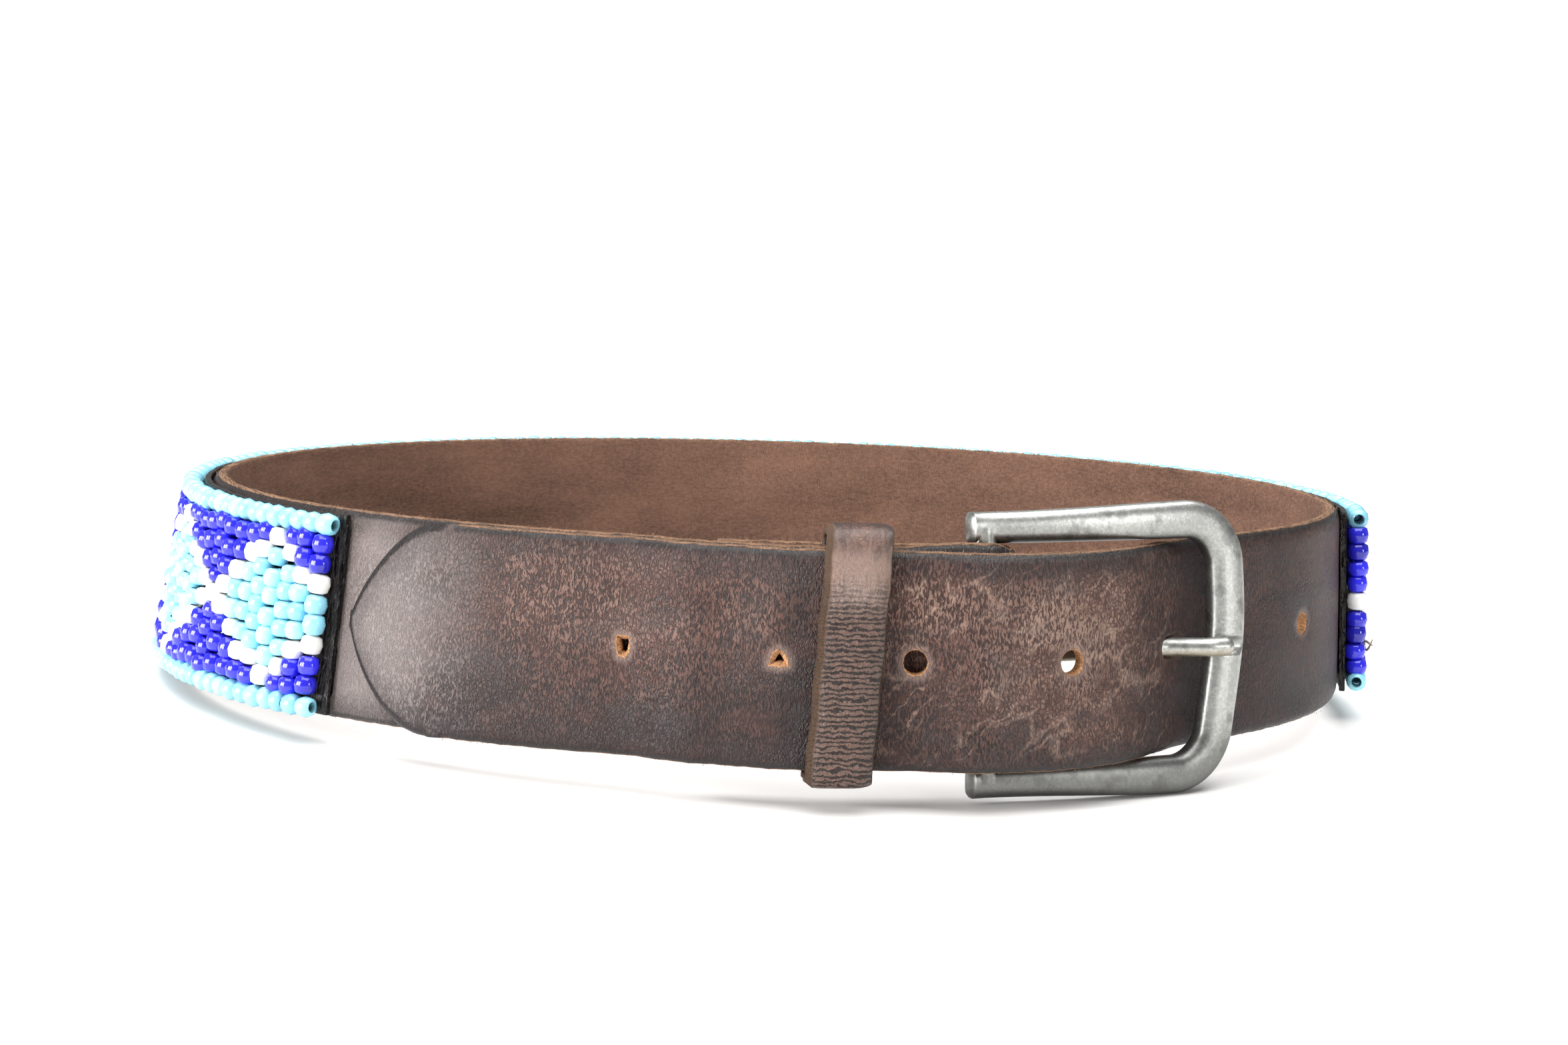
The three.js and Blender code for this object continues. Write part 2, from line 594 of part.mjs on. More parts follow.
// Sets the belt down with the middle of its box over the origin
const model = new THREE.Group();
model.add(belt);
model.updateMatrixWorld(true);
const box = new THREE.Box3().setFromObject(belt, true);
belt.position.set(-(box.min.x + box.max.x) / 2, -(box.min.y + box.max.y) / 2, -box.min.z);

export default model;
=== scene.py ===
"""A beaded leather belt, closed by its buckle, standing on a pale studio floor.

Leather is shaped flat, in millimetres along, up and through it, and then laid round the waist in metres.
"""

import math
import random

import bmesh
import bpy
import numpy as np
from bpy.props import FloatProperty, FloatVectorProperty, IntProperty, PointerProperty
from mathutils import Matrix, Quaternion, Vector


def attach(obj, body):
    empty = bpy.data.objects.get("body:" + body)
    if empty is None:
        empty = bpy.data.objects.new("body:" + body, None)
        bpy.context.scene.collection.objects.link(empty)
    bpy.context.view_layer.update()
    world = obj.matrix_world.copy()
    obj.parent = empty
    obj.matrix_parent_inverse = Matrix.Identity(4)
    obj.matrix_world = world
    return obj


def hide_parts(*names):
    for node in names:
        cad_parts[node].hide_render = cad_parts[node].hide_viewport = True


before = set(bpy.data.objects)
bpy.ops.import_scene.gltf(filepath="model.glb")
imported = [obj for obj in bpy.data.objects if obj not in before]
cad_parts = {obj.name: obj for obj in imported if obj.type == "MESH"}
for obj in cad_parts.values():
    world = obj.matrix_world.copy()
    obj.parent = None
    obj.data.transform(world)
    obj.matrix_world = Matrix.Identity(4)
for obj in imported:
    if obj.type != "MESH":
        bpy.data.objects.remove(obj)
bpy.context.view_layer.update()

bl_info = {
    "name": "Beaded Belt",
    "version": (1, 0, 0),
    "blender": (4, 5, 0),
    "location": "3D View > Sidebar > Belt",
    "description": "Makes a buckled leather belt with a beaded band round its back",
    "category": "Add Mesh",
}

# The waist that the belt goes round, as in the packed model
WAIST_HALF_WIDTH = 115.5
WAIST_HALF_DEPTH = 80.0
FLARE_LEFT_DEG = 11.0
FLARE_RIGHT_DEG = 2.7

# Strap and its layers
STRAP_HALF_WIDTH = 19.0
STRAP_HALF_THICKNESS = 1.5
LAYER_GAP = 0.3
HEEL_BAR_AT = 43.3
HEEL_BAR_RADIUS = 2.4
HEEL_BAR_OUT = 5.7
FOLD_END_AT = -3.2
FOLD_RADIUS = 4.2
OVER_BAR = 9.9
ON_BODY = 1.5
TIP_AT = -71.5
TIP_POINT_LENGTH = 18.5
TIP_ROUNDNESS = 0.7
UNDER_LEVELS = ((-19.2, 1.5), (-4.2, 4.8), (11.4, 7.1), (27.8, 7.1), (HEEL_BAR_AT, OVER_BAR))
FRONT_BAR_AT = 88.7
FRONT_BAR_OUT = 7.2
DROP_END_AT = 89.2
DROP_POWER = 1.5
PRONG_HOLE_AT = 77.0
PRONG_HOLE_SHEAR = 1.69
RIGHT_HOLE_AT = 118.0
ROUND_HOLES_AT = (56.0, 30.6)
TORN_HOLES_AT = (8.6, -18.0)
SLOT_HALF_LENGTH = 12.0
SLOT_RADIUS = 2.6
FOLD_RAISE = 1.3
RIPPLE = 0.09
TIP_COLUMN_POWER = 1.6
FAR = 1e3

# Keeper
KEEPER_AT = 19.6
KEEPER_BACK = 4.3
KEEPER_FRONT = 13.2
KEEPER_TOP = 22.2
KEEPER_FOOT = -20.9
KEEPER_SLANT_DEG = 4.2
KEEPER_BEND = 2.6
KEEPER_HALF_WIDTH = 5.8
KEEPER_HALF_THICKNESS = 1.0

# Buckle, in its own axes: x from the heel bar to the front bar, -y out from the body, z up
FRAME_REACH = 47.5
WINDOW_HALF = 19.7
FRONT_WIDTH = 7.0
HEEL_WIDTH = 5.6
FRAME_HALF_THICKNESS = 2.2
FRAME_CORNER = 8.0
FRONT_BULGE = 1.2
FRAME_BOW = 1.6
HEEL_OVERHANG = 2.8
BAR_SLANT = 2.3
PRONG_REST = 3.15
PRONG_BEND_FROM = 35.5
PRONG_BEND_LENGTH = 9.0
PRONG_TIP = 48.3
PRONG_RADIUS = 1.75
GROOVE_RADIUS = 1.95
EYE_RADIUS = 4.2
EYE_WALL = 1.5

# Beaded band
BAND_FROM = -75.0
BAND_RIGHT_AT = 145.0
BACKING_OUT = 3.9
BACKING_HALF_WIDTH = 18.3
BACKING_HALF_THICKNESS = 0.6
BEADS_OUT = 6.8
ROWS_OUT = 6.9
ROW_HEIGHT = 16.7
BEADS_INSET = 1.6
ROW_HALF_PITCH = 1.72
BEAD_WALL = 0.48
WIDE_PITCH = 3.7
CLOSE_PITCH = 3.42

# Threads and fibres
STITCHED_AT = (1.2, 31.5)
STITCH_PITCH = 4.8
STITCH_HALF_LENGTH = 1.75
LOOP_AT = BAND_RIGHT_AT + 5.0
LOOP_OUT = 10.3
LOOP_HEIGHT = -9.6
FIBRES_ON_TOP = 0.72
ABOVE_FLOOR = 0.00002

# How the belt stands: leant about the buckle's length onto its lower arm, then set over the origin
REST_LEAN = Quaternion((0.999796, -0.018543, -0.00801, 0.0)).normalized()
REST_PLACE = Vector((1.023, 3.064, 22.700))

# The photographer's place and aim, in the belt's own millimetres before it leans
CAMERA_PLACE = Vector((32.6, -496.1, 83.1))
CAMERA_YAW_DEG = -3.31
CAMERA_PITCH_DEG = 8.29
CAMERA_ROLL_DEG = 1.6
CAMERA_LENS = 55.1
FLOOR_RADIUS = 1.1
WHITE_BEYOND = 1.1

# Beads of ten columns, from the top down: b royal blue, w white, l light blue
BEAD_CHART = (
    "bbwllwbb", "bbwlllwbb", "bwlllllwb", "wllllllw", "bwlllllwb",
    "bwllllwb", "bbwllwbb", "bbbwwbbb", "bbbbwbbbb", "bbbwwbbb",
)


def linear(code):
    """A colour as Blender wants it, from its hex code."""
    shares = [int(code[i:i + 2], 16) / 255 for i in (0, 2, 4)]
    return tuple(c / 12.92 if c <= 0.04045 else ((c + 0.055) / 1.055) ** 2.4 for c in shares)


def length_property(name, description, default):
    return FloatProperty(name=name, description=description, default=default, min=0.0, unit="LENGTH")


def colour_property(name, description, code):
    return FloatVectorProperty(
        name=name, description=description, default=linear(code), min=0.0, max=1.0, subtype="COLOR", size=3)


def share_property(name, description, default):
    return FloatProperty(
        name=name, description=description, default=default, min=0.0, max=1.0, subtype="FACTOR")


def power_property(name, description, default):
    return FloatProperty(name=name, description=description, default=default, min=0.0, unit="POWER")


class BeltLeather(bpy.types.PropertyGroup):
    """Sizes and colours of the strap, the keeper and the backing."""

    edge_radius: length_property("Edge radius", "Rounding along the strap's edges", 0.0007)
    keeper_edge_radius: length_property("Keeper edge radius", "Rounding along the keeper's edges", 0.0005)
    hole_lip: length_property("Hole lip", "Width of the worn lip round a punched hole", 0.00035)
    dark: colour_property("Dark", "Creases and burnished parts of the grain side", "1e1110")
    middle: colour_property("Middle", "Most of the grain side", "483029")
    light: colour_property("Light", "Scuffs and raised grain", "8a7062")
    raw: colour_property("Raw edge", "Cut edges of the strap", "8a6951")
    hole: colour_property("Hole", "Inside of the punched holes", "c08e63")
    flesh: colour_property("Flesh side", "The strap's rough inner side", "6f5142")
    backing: colour_property("Backing", "Leather under the beads", "17110f")


class BeltMetal(bpy.types.PropertyGroup):
    """Sizes and colours of the buckle."""

    end_bevel: length_property("Arm end bevel", "Bevel round the cut ends of the buckle's arms", 0.0006)
    face: colour_property("Face", "Antiqued metal", "c2c3bf")
    # The stain colour is also scaled down for the painted shade on the frame's downward faces and low parts.
    stain_and_shade: colour_property("Stain", "Darkened hollows in the metal", "6b6b67")
    brass: colour_property("Brass", "Worn side of the prong", "8d7a56")


class BeltBeads(bpy.types.PropertyGroup):
    """Sizes and colours of the glass beads."""

    bead_width: length_property("Bead width", "Diameter of a bead of the field", 0.0043)
    row_bead_width: length_property("Edge bead width", "Diameter of a bead of the edge rows", 0.0042)
    unevenness: share_property("Unevenness", "How much the beads differ in size", 0.07)
    columns: IntProperty(name="Columns", description="Columns of beads round the band", default=109, min=9)
    blue: colour_property("Blue", "Ground of the pattern", "2b29da")
    white: colour_property("White", "Outline of the pattern", "f4f4f0")
    light: colour_property("Light blue", "Filling and edge rows", "93d8f2")
    seed: IntProperty(name="Seed", description="Another choice of uneven beads", default=7, min=0)


class BeltThreads(bpy.types.PropertyGroup):
    """Sizes and colours of the stitches, the thread end and the loose fibres."""

    stitch_radius: length_property("Stitch radius", "Half the thickness of the fold's thread", 0.00036)
    loop_radius: length_property("Thread end radius", "Half the thickness of the beadwork's thread", 0.00026)
    fibres: IntProperty(name="Fibres", description="Loose fibres on the raw edges", default=1500, min=1)
    waxed: colour_property("Waxed thread", "Thread of the fold", "8a7358")
    linen: colour_property("Linen thread", "Thread of the beadwork", "b3a284")
    fibre: colour_property("Fibre", "Loose leather fibres", "9b7656")
    seed: IntProperty(name="Seed", description="Another choice of fibres", default=11, min=0)


class BeltStudio(bpy.types.PropertyGroup):
    """The floor and the lights."""

    floor: colour_property("Floor", "Floor and backdrop", "f1f0ee")
    key_power: power_property("Key light", "Power of the large light on the left", 17.0)
    top_power: power_property("Top light", "Power of the light above", 20.0)
    sky: FloatProperty(name="Sky", description="Brightness of the light all round", default=0.25, min=0.0)


def smooth(t):
    t = np.clip(t, 0.0, 1.0)
    return t * t * (3 - 2 * t)


WAIST_ANGLES = np.linspace(-math.pi / 2, 1.5 * math.pi, 4001)
WAIST_LINE = np.stack([
    WAIST_HALF_WIDTH * np.cos(WAIST_ANGLES), WAIST_HALF_DEPTH * np.sin(WAIST_ANGLES)], -1)
WAIST_LENGTHS = np.concatenate([[0], np.cumsum(np.linalg.norm(np.diff(WAIST_LINE, axis=0), axis=1))])
GIRTH = WAIST_LENGTHS[-1]
BAND_TO = BAND_RIGHT_AT - GIRTH


def waist_at(place):
    """Points, outward directions and leans at places along the waist, from the middle of its front."""
    angle = np.interp(np.mod(np.asarray(place, float), GIRTH), WAIST_LENGTHS, WAIST_ANGLES)
    cosine, sine = np.cos(angle), np.sin(angle)
    level = np.zeros_like(angle)
    point = np.stack([WAIST_HALF_WIDTH * cosine, WAIST_HALF_DEPTH * sine, level], -1)
    out = np.stack([cosine / WAIST_HALF_WIDTH, sine / WAIST_HALF_DEPTH, level], -1)
    out /= np.linalg.norm(out, axis=-1, keepdims=True)
    swing = (FLARE_RIGHT_DEG - FLARE_LEFT_DEG) / 2
    lean = np.tan(np.radians((FLARE_LEFT_DEG + FLARE_RIGHT_DEG) / 2 + swing * cosine))
    return point, out, lean


def belt_point(place, offset, height):
    """Points at places along the waist, offset out from it and at a height above mid strap."""
    point, out, lean = waist_at(place)
    offset, height = np.broadcast_arrays(np.asarray(offset, float), np.asarray(height, float))
    spot = point + out * (offset - height * lean)[..., None]
    spot[..., 2] += height
    return spot


def to_world(spots):
    """Metres on the floor, from the belt's own millimetres."""
    turn = np.array(REST_LEAN.to_matrix())
    return (np.asarray(spots) @ turn.T + np.array(REST_PLACE)) / 1000


HEEL_POINT = belt_point(HEEL_BAR_AT, HEEL_BAR_OUT, 0.0)
BUCKLE_ALONG = belt_point(FRONT_BAR_AT, FRONT_BAR_OUT, 0.0) - HEEL_POINT
BUCKLE_ALONG /= np.linalg.norm(BUCKLE_ALONG)
BUCKLE_LEAN = math.atan(waist_at(HEEL_BAR_AT)[2])
LEVEL_OUT = np.array([BUCKLE_ALONG[1], -BUCKLE_ALONG[0], 0.0])
BUCKLE_OUT = LEVEL_OUT * math.cos(BUCKLE_LEAN) + np.array([0, 0, math.sin(BUCKLE_LEAN)])
BUCKLE_UP = np.array([0, 0, math.cos(BUCKLE_LEAN)]) - LEVEL_OUT * math.sin(BUCKLE_LEAN)


def buckle_to_world(spots):
    """Metres on the floor, from millimetres in the buckle's own axes."""
    axes = np.stack([BUCKLE_ALONG, -BUCKLE_OUT, BUCKLE_UP])
    return to_world(np.asarray(spots) @ axes + HEEL_POINT)


def under_offset(place):
    """How far out the layer that comes back from the heel bar lies, at its middle."""
    place = np.asarray(place, float)
    level = np.where(place <= UNDER_LEVELS[0][0], UNDER_LEVELS[0][1], OVER_BAR)
    for (a, low), (b, high) in zip(UNDER_LEVELS, UNDER_LEVELS[1:]):
        eased = low + (high - low) * smooth((place - a) / (b - a))
        level = np.where((place > a) & (place <= b), eased, level)
    return level


def over_offset(place):
    """How far out the tip end lies, at its middle."""
    place = np.asarray(place, float)
    share = np.clip((place - HEEL_BAR_AT) / (DROP_END_AT - HEEL_BAR_AT), 0, 1)
    rise = 2 * STRAP_HALF_THICKNESS + LAYER_GAP
    dropped = OVER_BAR + rise + (ON_BODY - OVER_BAR - rise) * smooth(share ** DROP_POWER)
    return np.where(place <= HEEL_BAR_AT, under_offset(place) + rise, dropped)


class Route:
    """A line in plan along the belt, which flat leather is laid along on its edge."""

    def __init__(self, places, offsets):
        self.places = np.asarray(places, float)
        point, out, lean = waist_at(self.places)
        line = point + out * np.asarray(offsets, float)[:, None]
        steps = np.linalg.norm(np.diff(line, axis=0), axis=1)
        self.lengths = np.concatenate([[0], np.cumsum(steps)])
        way = np.gradient(line, axis=0)
        way /= np.linalg.norm(way, axis=1, keepdims=True)
        across = np.stack([way[:, 1], -way[:, 0], np.zeros(len(way))], -1)
        self.table = np.concatenate([line, across, out * lean[:, None]], axis=1)
        self.turned = int(np.argmax(self.places))

    @property
    def length(self):
        return self.lengths[-1]

    def length_at(self, place):
        """The length along the line at a place, past the line's turn round the heel bar."""
        return np.interp(place, self.places[self.turned:][::-1], self.lengths[self.turned:][::-1])

    def place_at(self, length):
        return np.interp(length, self.lengths, self.places)

    def lay(self, flat):
        rows = np.stack([np.interp(flat[:, 0], self.lengths, column) for column in self.table.T], -1)
        spots = rows[:, :3] + rows[:, 3:6] * flat[:, 2:3] - rows[:, 6:9] * flat[:, 1:2]
        spots[:, 2] += flat[:, 1]
        return to_world(spots)


def strap_route():
    """The strap's middle, from its folded end round the heel bar and the waist to its tip."""
    turn = np.linspace(0, math.pi, 42)[1:-1]

    def on_body(places):
        return np.full_like(places, ON_BODY)

    stretches = [
        (np.linspace(FOLD_END_AT, HEEL_BAR_AT, 60), on_body, 0.0),
        (np.linspace(HEEL_BAR_AT, UNDER_LEVELS[0][0], 90), under_offset, 0.0),
        (np.linspace(UNDER_LEVELS[0][0], DROP_END_AT - GIRTH, 640)[1:], on_body, 0.0),
        (np.linspace(DROP_END_AT, TIP_AT, 220)[1:], over_offset, GIRTH),
    ]
    laid = [(places - wrapped, level(places)) for places, level, wrapped in stretches]
    bend = (HEEL_BAR_AT + FOLD_RADIUS * np.sin(turn), HEEL_BAR_OUT - FOLD_RADIUS * np.cos(turn))
    laid.insert(1, bend)
    return Route(np.concatenate([p for p, _ in laid]), np.concatenate([o for _, o in laid]))


def only_active(*pieces):
    bpy.ops.object.select_all(action="DESELECT")
    for piece in pieces:
        piece.select_set(True)
    bpy.context.view_layer.objects.active = pieces[0]


def edit(piece):
    """Opens a piece alone in edit mode, with nothing selected."""
    only_active(piece)
    bpy.ops.object.mode_set(mode="EDIT")
    bpy.ops.mesh.select_all(action="DESELECT")
    return bmesh.from_edit_mesh(piece.data)


def face_outwards():
    """Turns all faces of the piece in edit mode outwards and leaves the mode."""
    bpy.ops.mesh.select_all(action="SELECT")
    bpy.ops.mesh.normals_make_consistent(inside=False)
    bpy.ops.object.mode_set(mode="OBJECT")


def select_open_edges(piece):
    work = bmesh.from_edit_mesh(piece.data)
    for edge in work.edges:
        edge.select_set(edge.is_boundary)


def hollow_out(piece, wall):
    """Makes a tube of an upright closed cylinder and leaves it open in edit mode."""
    work = edit(piece)
    bpy.ops.mesh.select_mode(type="FACE")
    for face in work.faces:
        face.select_set(abs(face.normal.z) > 0.9)
    bpy.ops.mesh.inset(thickness=wall)
    bpy.ops.mesh.delete(type="FACE")
    bpy.ops.mesh.select_mode(type="EDGE")
    select_open_edges(piece)
    bpy.ops.mesh.bridge_edge_loops()
    bpy.ops.mesh.select_all(action="DESELECT")
    return bmesh.from_edit_mesh(piece.data)


def corners(mesh):
    spots = np.empty(len(mesh.vertices) * 3)
    mesh.vertices.foreach_get("co", spots)
    return spots.reshape(-1, 3)


def place_corners(mesh, spots):
    mesh.vertices.foreach_set("co", np.asarray(spots, float).ravel())
    mesh.update()


def keep_attribute(mesh, name, values):
    """Stores one value or vector for each corner of a mesh."""
    values = np.asarray(values, float)
    kind, key = ("FLOAT", "value") if values.ndim == 1 else ("FLOAT_VECTOR", "vector")
    layer = mesh.attributes.get(name) or mesh.attributes.new(name, kind, "POINT")
    layer.data.foreach_set(key, values.ravel())


def grid_on(name, table):
    """A grid whose corners are moved onto a table of points, columns by rows."""
    columns, rows = table.shape[:2]
    bpy.ops.object.select_all(action="DESELECT")
    bpy.ops.mesh.primitive_grid_add(x_subdivisions=columns - 1, y_subdivisions=rows - 1, size=1)
    piece = bpy.context.object
    piece.name = piece.data.name = name
    spots = corners(piece.data)
    column = np.rint((spots[:, 0] + 0.5) * (columns - 1)).astype(int)
    row = np.rint((spots[:, 1] + 0.5) * (rows - 1)).astype(int)
    place_corners(piece.data, table[column, row])
    return piece


def weld(piece, distance, fill=True):
    """Joins corners that meet, closes open ends and turns all faces outwards."""
    edit(piece)
    bpy.ops.mesh.select_all(action="SELECT")
    bpy.ops.mesh.remove_doubles(threshold=distance)
    if fill:
        bpy.ops.mesh.fill_holes(sides=0)
    face_outwards()


def rounded_section(half_up, half_through, radius, rows):
    """Heights and depths round a strap's section, its first point repeated at the end."""
    r = min(radius, half_up * 0.6, half_through * 0.9)
    share = np.linspace(-1, 1, rows + 1)
    across = (half_up - r) * (0.55 * share + 0.45 * np.sin(share * math.pi / 2))
    quarter = np.linspace(0, math.pi / 2, 4)[1:-1]
    grain = [(h, -half_through) for h in across]
    top = [(half_up - r + r * math.sin(a), -half_through + r - r * math.cos(a)) for a in quarter]
    edge = [(half_up, -half_through + r), (half_up, half_through - r)]
    over = [(half_up - r + r * math.cos(a), half_through - r + r * math.sin(a)) for a in quarter]
    side = grain + top + edge + over
    other = [(-h, -t) for h, t in side]
    return np.array(side + other + side[:1])


def flat_strip(name, columns, half_up, half_through, radius, rows, fill=True):
    """A closed strip of leather lying flat, with its half width given at each column."""
    table = []
    for along, half in zip(columns, half_up):
        ring = rounded_section(half, half_through, radius, rows)
        table.append(np.column_stack([np.full(len(ring), along), ring]))
    piece = grid_on(name, np.array(table))
    weld(piece, 0.002, fill)
    return piece


def piece_of(name, points, faces):
    """A piece straight from its points and faces, for shapes that are repeated hundreds of times."""
    mesh = bpy.data.meshes.new(name)
    mesh.from_pydata(points.tolist(), [], faces)
    piece = bpy.data.objects.new(name, mesh)
    bpy.context.scene.collection.objects.link(piece)
    return piece


def lay_round(piece, way, spots=None):
    """Lays a flat piece round the waist: as it lies, kept as an attribute, or from spots moved off it."""
    if spots is None:
        spots = corners(piece.data)
        keep_attribute(piece.data, "flat", spots)
    place_corners(piece.data, way(spots))
    edit(piece)
    face_outwards()


def hand_over(piece, materials, nodes=(), smooth_deg=40.0):
    """Gives a piece its finish and its place in the frame."""
    only_active(piece)
    bpy.ops.object.shade_smooth_by_angle(angle=math.radians(smooth_deg))
    for material in materials:
        piece.data.materials.append(material)
    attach(piece, "root")
    if nodes:
        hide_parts(*nodes)


def unite(piece, other):
    """Makes one casting of two closed pieces."""
    bond = piece.modifiers.new("bond", "BOOLEAN")
    bond.operation = "UNION"
    bond.solver = "EXACT"
    bond.object = other
    only_active(piece)
    bpy.ops.object.modifier_apply(modifier=bond.name)
    bpy.data.objects.remove(other, do_unlink=True)


class Value:
    """A number in a material that Python's operators work on."""

    def __init__(self, look, socket):
        self.look, self.socket = look, socket

    def of(self, name):
        """Another output of the same node."""
        return Value(self.look, self.socket.node.outputs[name])

    def math(self, operation, *terms):
        return self.look.add("ShaderNodeMath", {"operation": operation}, dict(enumerate(terms)))

    def __add__(self, other):
        return self.math("ADD", self, other)

    def __sub__(self, other):
        return self.math("SUBTRACT", self, other)

    def __rsub__(self, other):
        return self.math("SUBTRACT", other, self)

    def __mul__(self, other):
        return self.math("MULTIPLY", self, other)

    __radd__ = __add__
    __rmul__ = __mul__


class Look:
    """A material in the making. Its parts are added with one method."""

    def __init__(self, name):
        self.material = bpy.data.materials.new(name)
        self.material.use_nodes = True
        self.tree = self.material.node_tree
        self.shader = self.tree.nodes["Principled BSDF"]

    def add(self, kind, settings=None, sockets=None, output=0):
        """Adds a node, first its settings, then its sockets' values or links, and gives one output."""
        node = self.tree.nodes.new(kind)
        for key, value in (settings or {}).items():
            if key == "stops":
                self.set_stops(node.color_ramp, value)
            else:
                setattr(node, key, value)
        self.fill(node, sockets or {})
        return Value(self, node.outputs[output])

    def fill(self, node, sockets):
        for key, value in sockets.items():
            if isinstance(value, Value):
                self.tree.links.new(value.socket, node.inputs[key])
            else:
                socket = node.inputs[key]
                wide = hasattr(socket.default_value, "__len__") and len(socket.default_value) == 4
                socket.default_value = (*value, 1.0) if wide and len(value) == 3 else value

    @staticmethod
    def set_stops(ramp, stops):
        while len(ramp.elements) < len(stops):
            ramp.elements.new(1.0)
        for element, (position, colour) in zip(ramp.elements, stops):
            element.position = position
            element.color = (*colour, 1.0)

    def finish(self, **sockets):
        """Sets the shader's own sockets, named with underscores for spaces."""
        self.fill(self.shader, {key.replace("_", " "): value for key, value in sockets.items()})
        return self.material

    def stretched(self, vector, stretch):
        return self.add("ShaderNodeVectorMath", {"operation": "MULTIPLY"}, {0: vector, 1: stretch})

    def swayed(self, vector, noise, reach):
        """The vector moved about by a noise's colour."""
        return self.add("ShaderNodeVectorMath", {"operation": "MULTIPLY_ADD"}, {
            0: noise.of("Color"), 1: (reach, reach, 0.0), 2: vector})

    def part(self, vector, name):
        return self.add("ShaderNodeSeparateXYZ", {}, {0: vector}, output=name)

    def noise(self, vector, stretch, detail=3.0, rough=0.55):
        return self.add("ShaderNodeTexNoise", {}, {
            "Vector": self.stretched(vector, stretch), "Scale": 1.0, "Detail": detail, "Roughness": rough})

    def cell_edges(self, vector, stretch):
        """How far points are from the edges of uneven cells."""
        return self.add("ShaderNodeTexVoronoi", {"feature": "DISTANCE_TO_EDGE"}, {
            "Vector": self.stretched(vector, stretch), "Scale": 1.0, "Randomness": 1.0})

    def between(self, value, low, high):
        """0 below low and 1 above high, smooth in between. High may be the smaller."""
        low, high, start, end = (low, high, 0.0, 1.0) if low < high else (high, low, 1.0, 0.0)
        return self.add("ShaderNodeMapRange", {"interpolation_type": "SMOOTHSTEP"}, {
            0: value, 1: low, 2: high, 3: start, 4: end})

    def blend(self, share, a, b):
        return self.add("ShaderNodeMix", {"data_type": "RGBA"}, {0: share, 6: a, 7: b}, output=2)

    def ramp(self, value, *stops):
        return self.add("ShaderNodeValToRGB", {"stops": stops}, {0: value})

    def bump(self, height, distance, strength):
        return self.add("ShaderNodeBump", {}, {
            "Height": height, "Distance": distance, "Strength": strength})

    def attribute(self, name, output="Vector"):
        return self.add("ShaderNodeAttribute", {"attribute_name": name}, output=output)


def shade(colour, factor):
    return tuple(min(c * factor, 1.0) for c in colour)


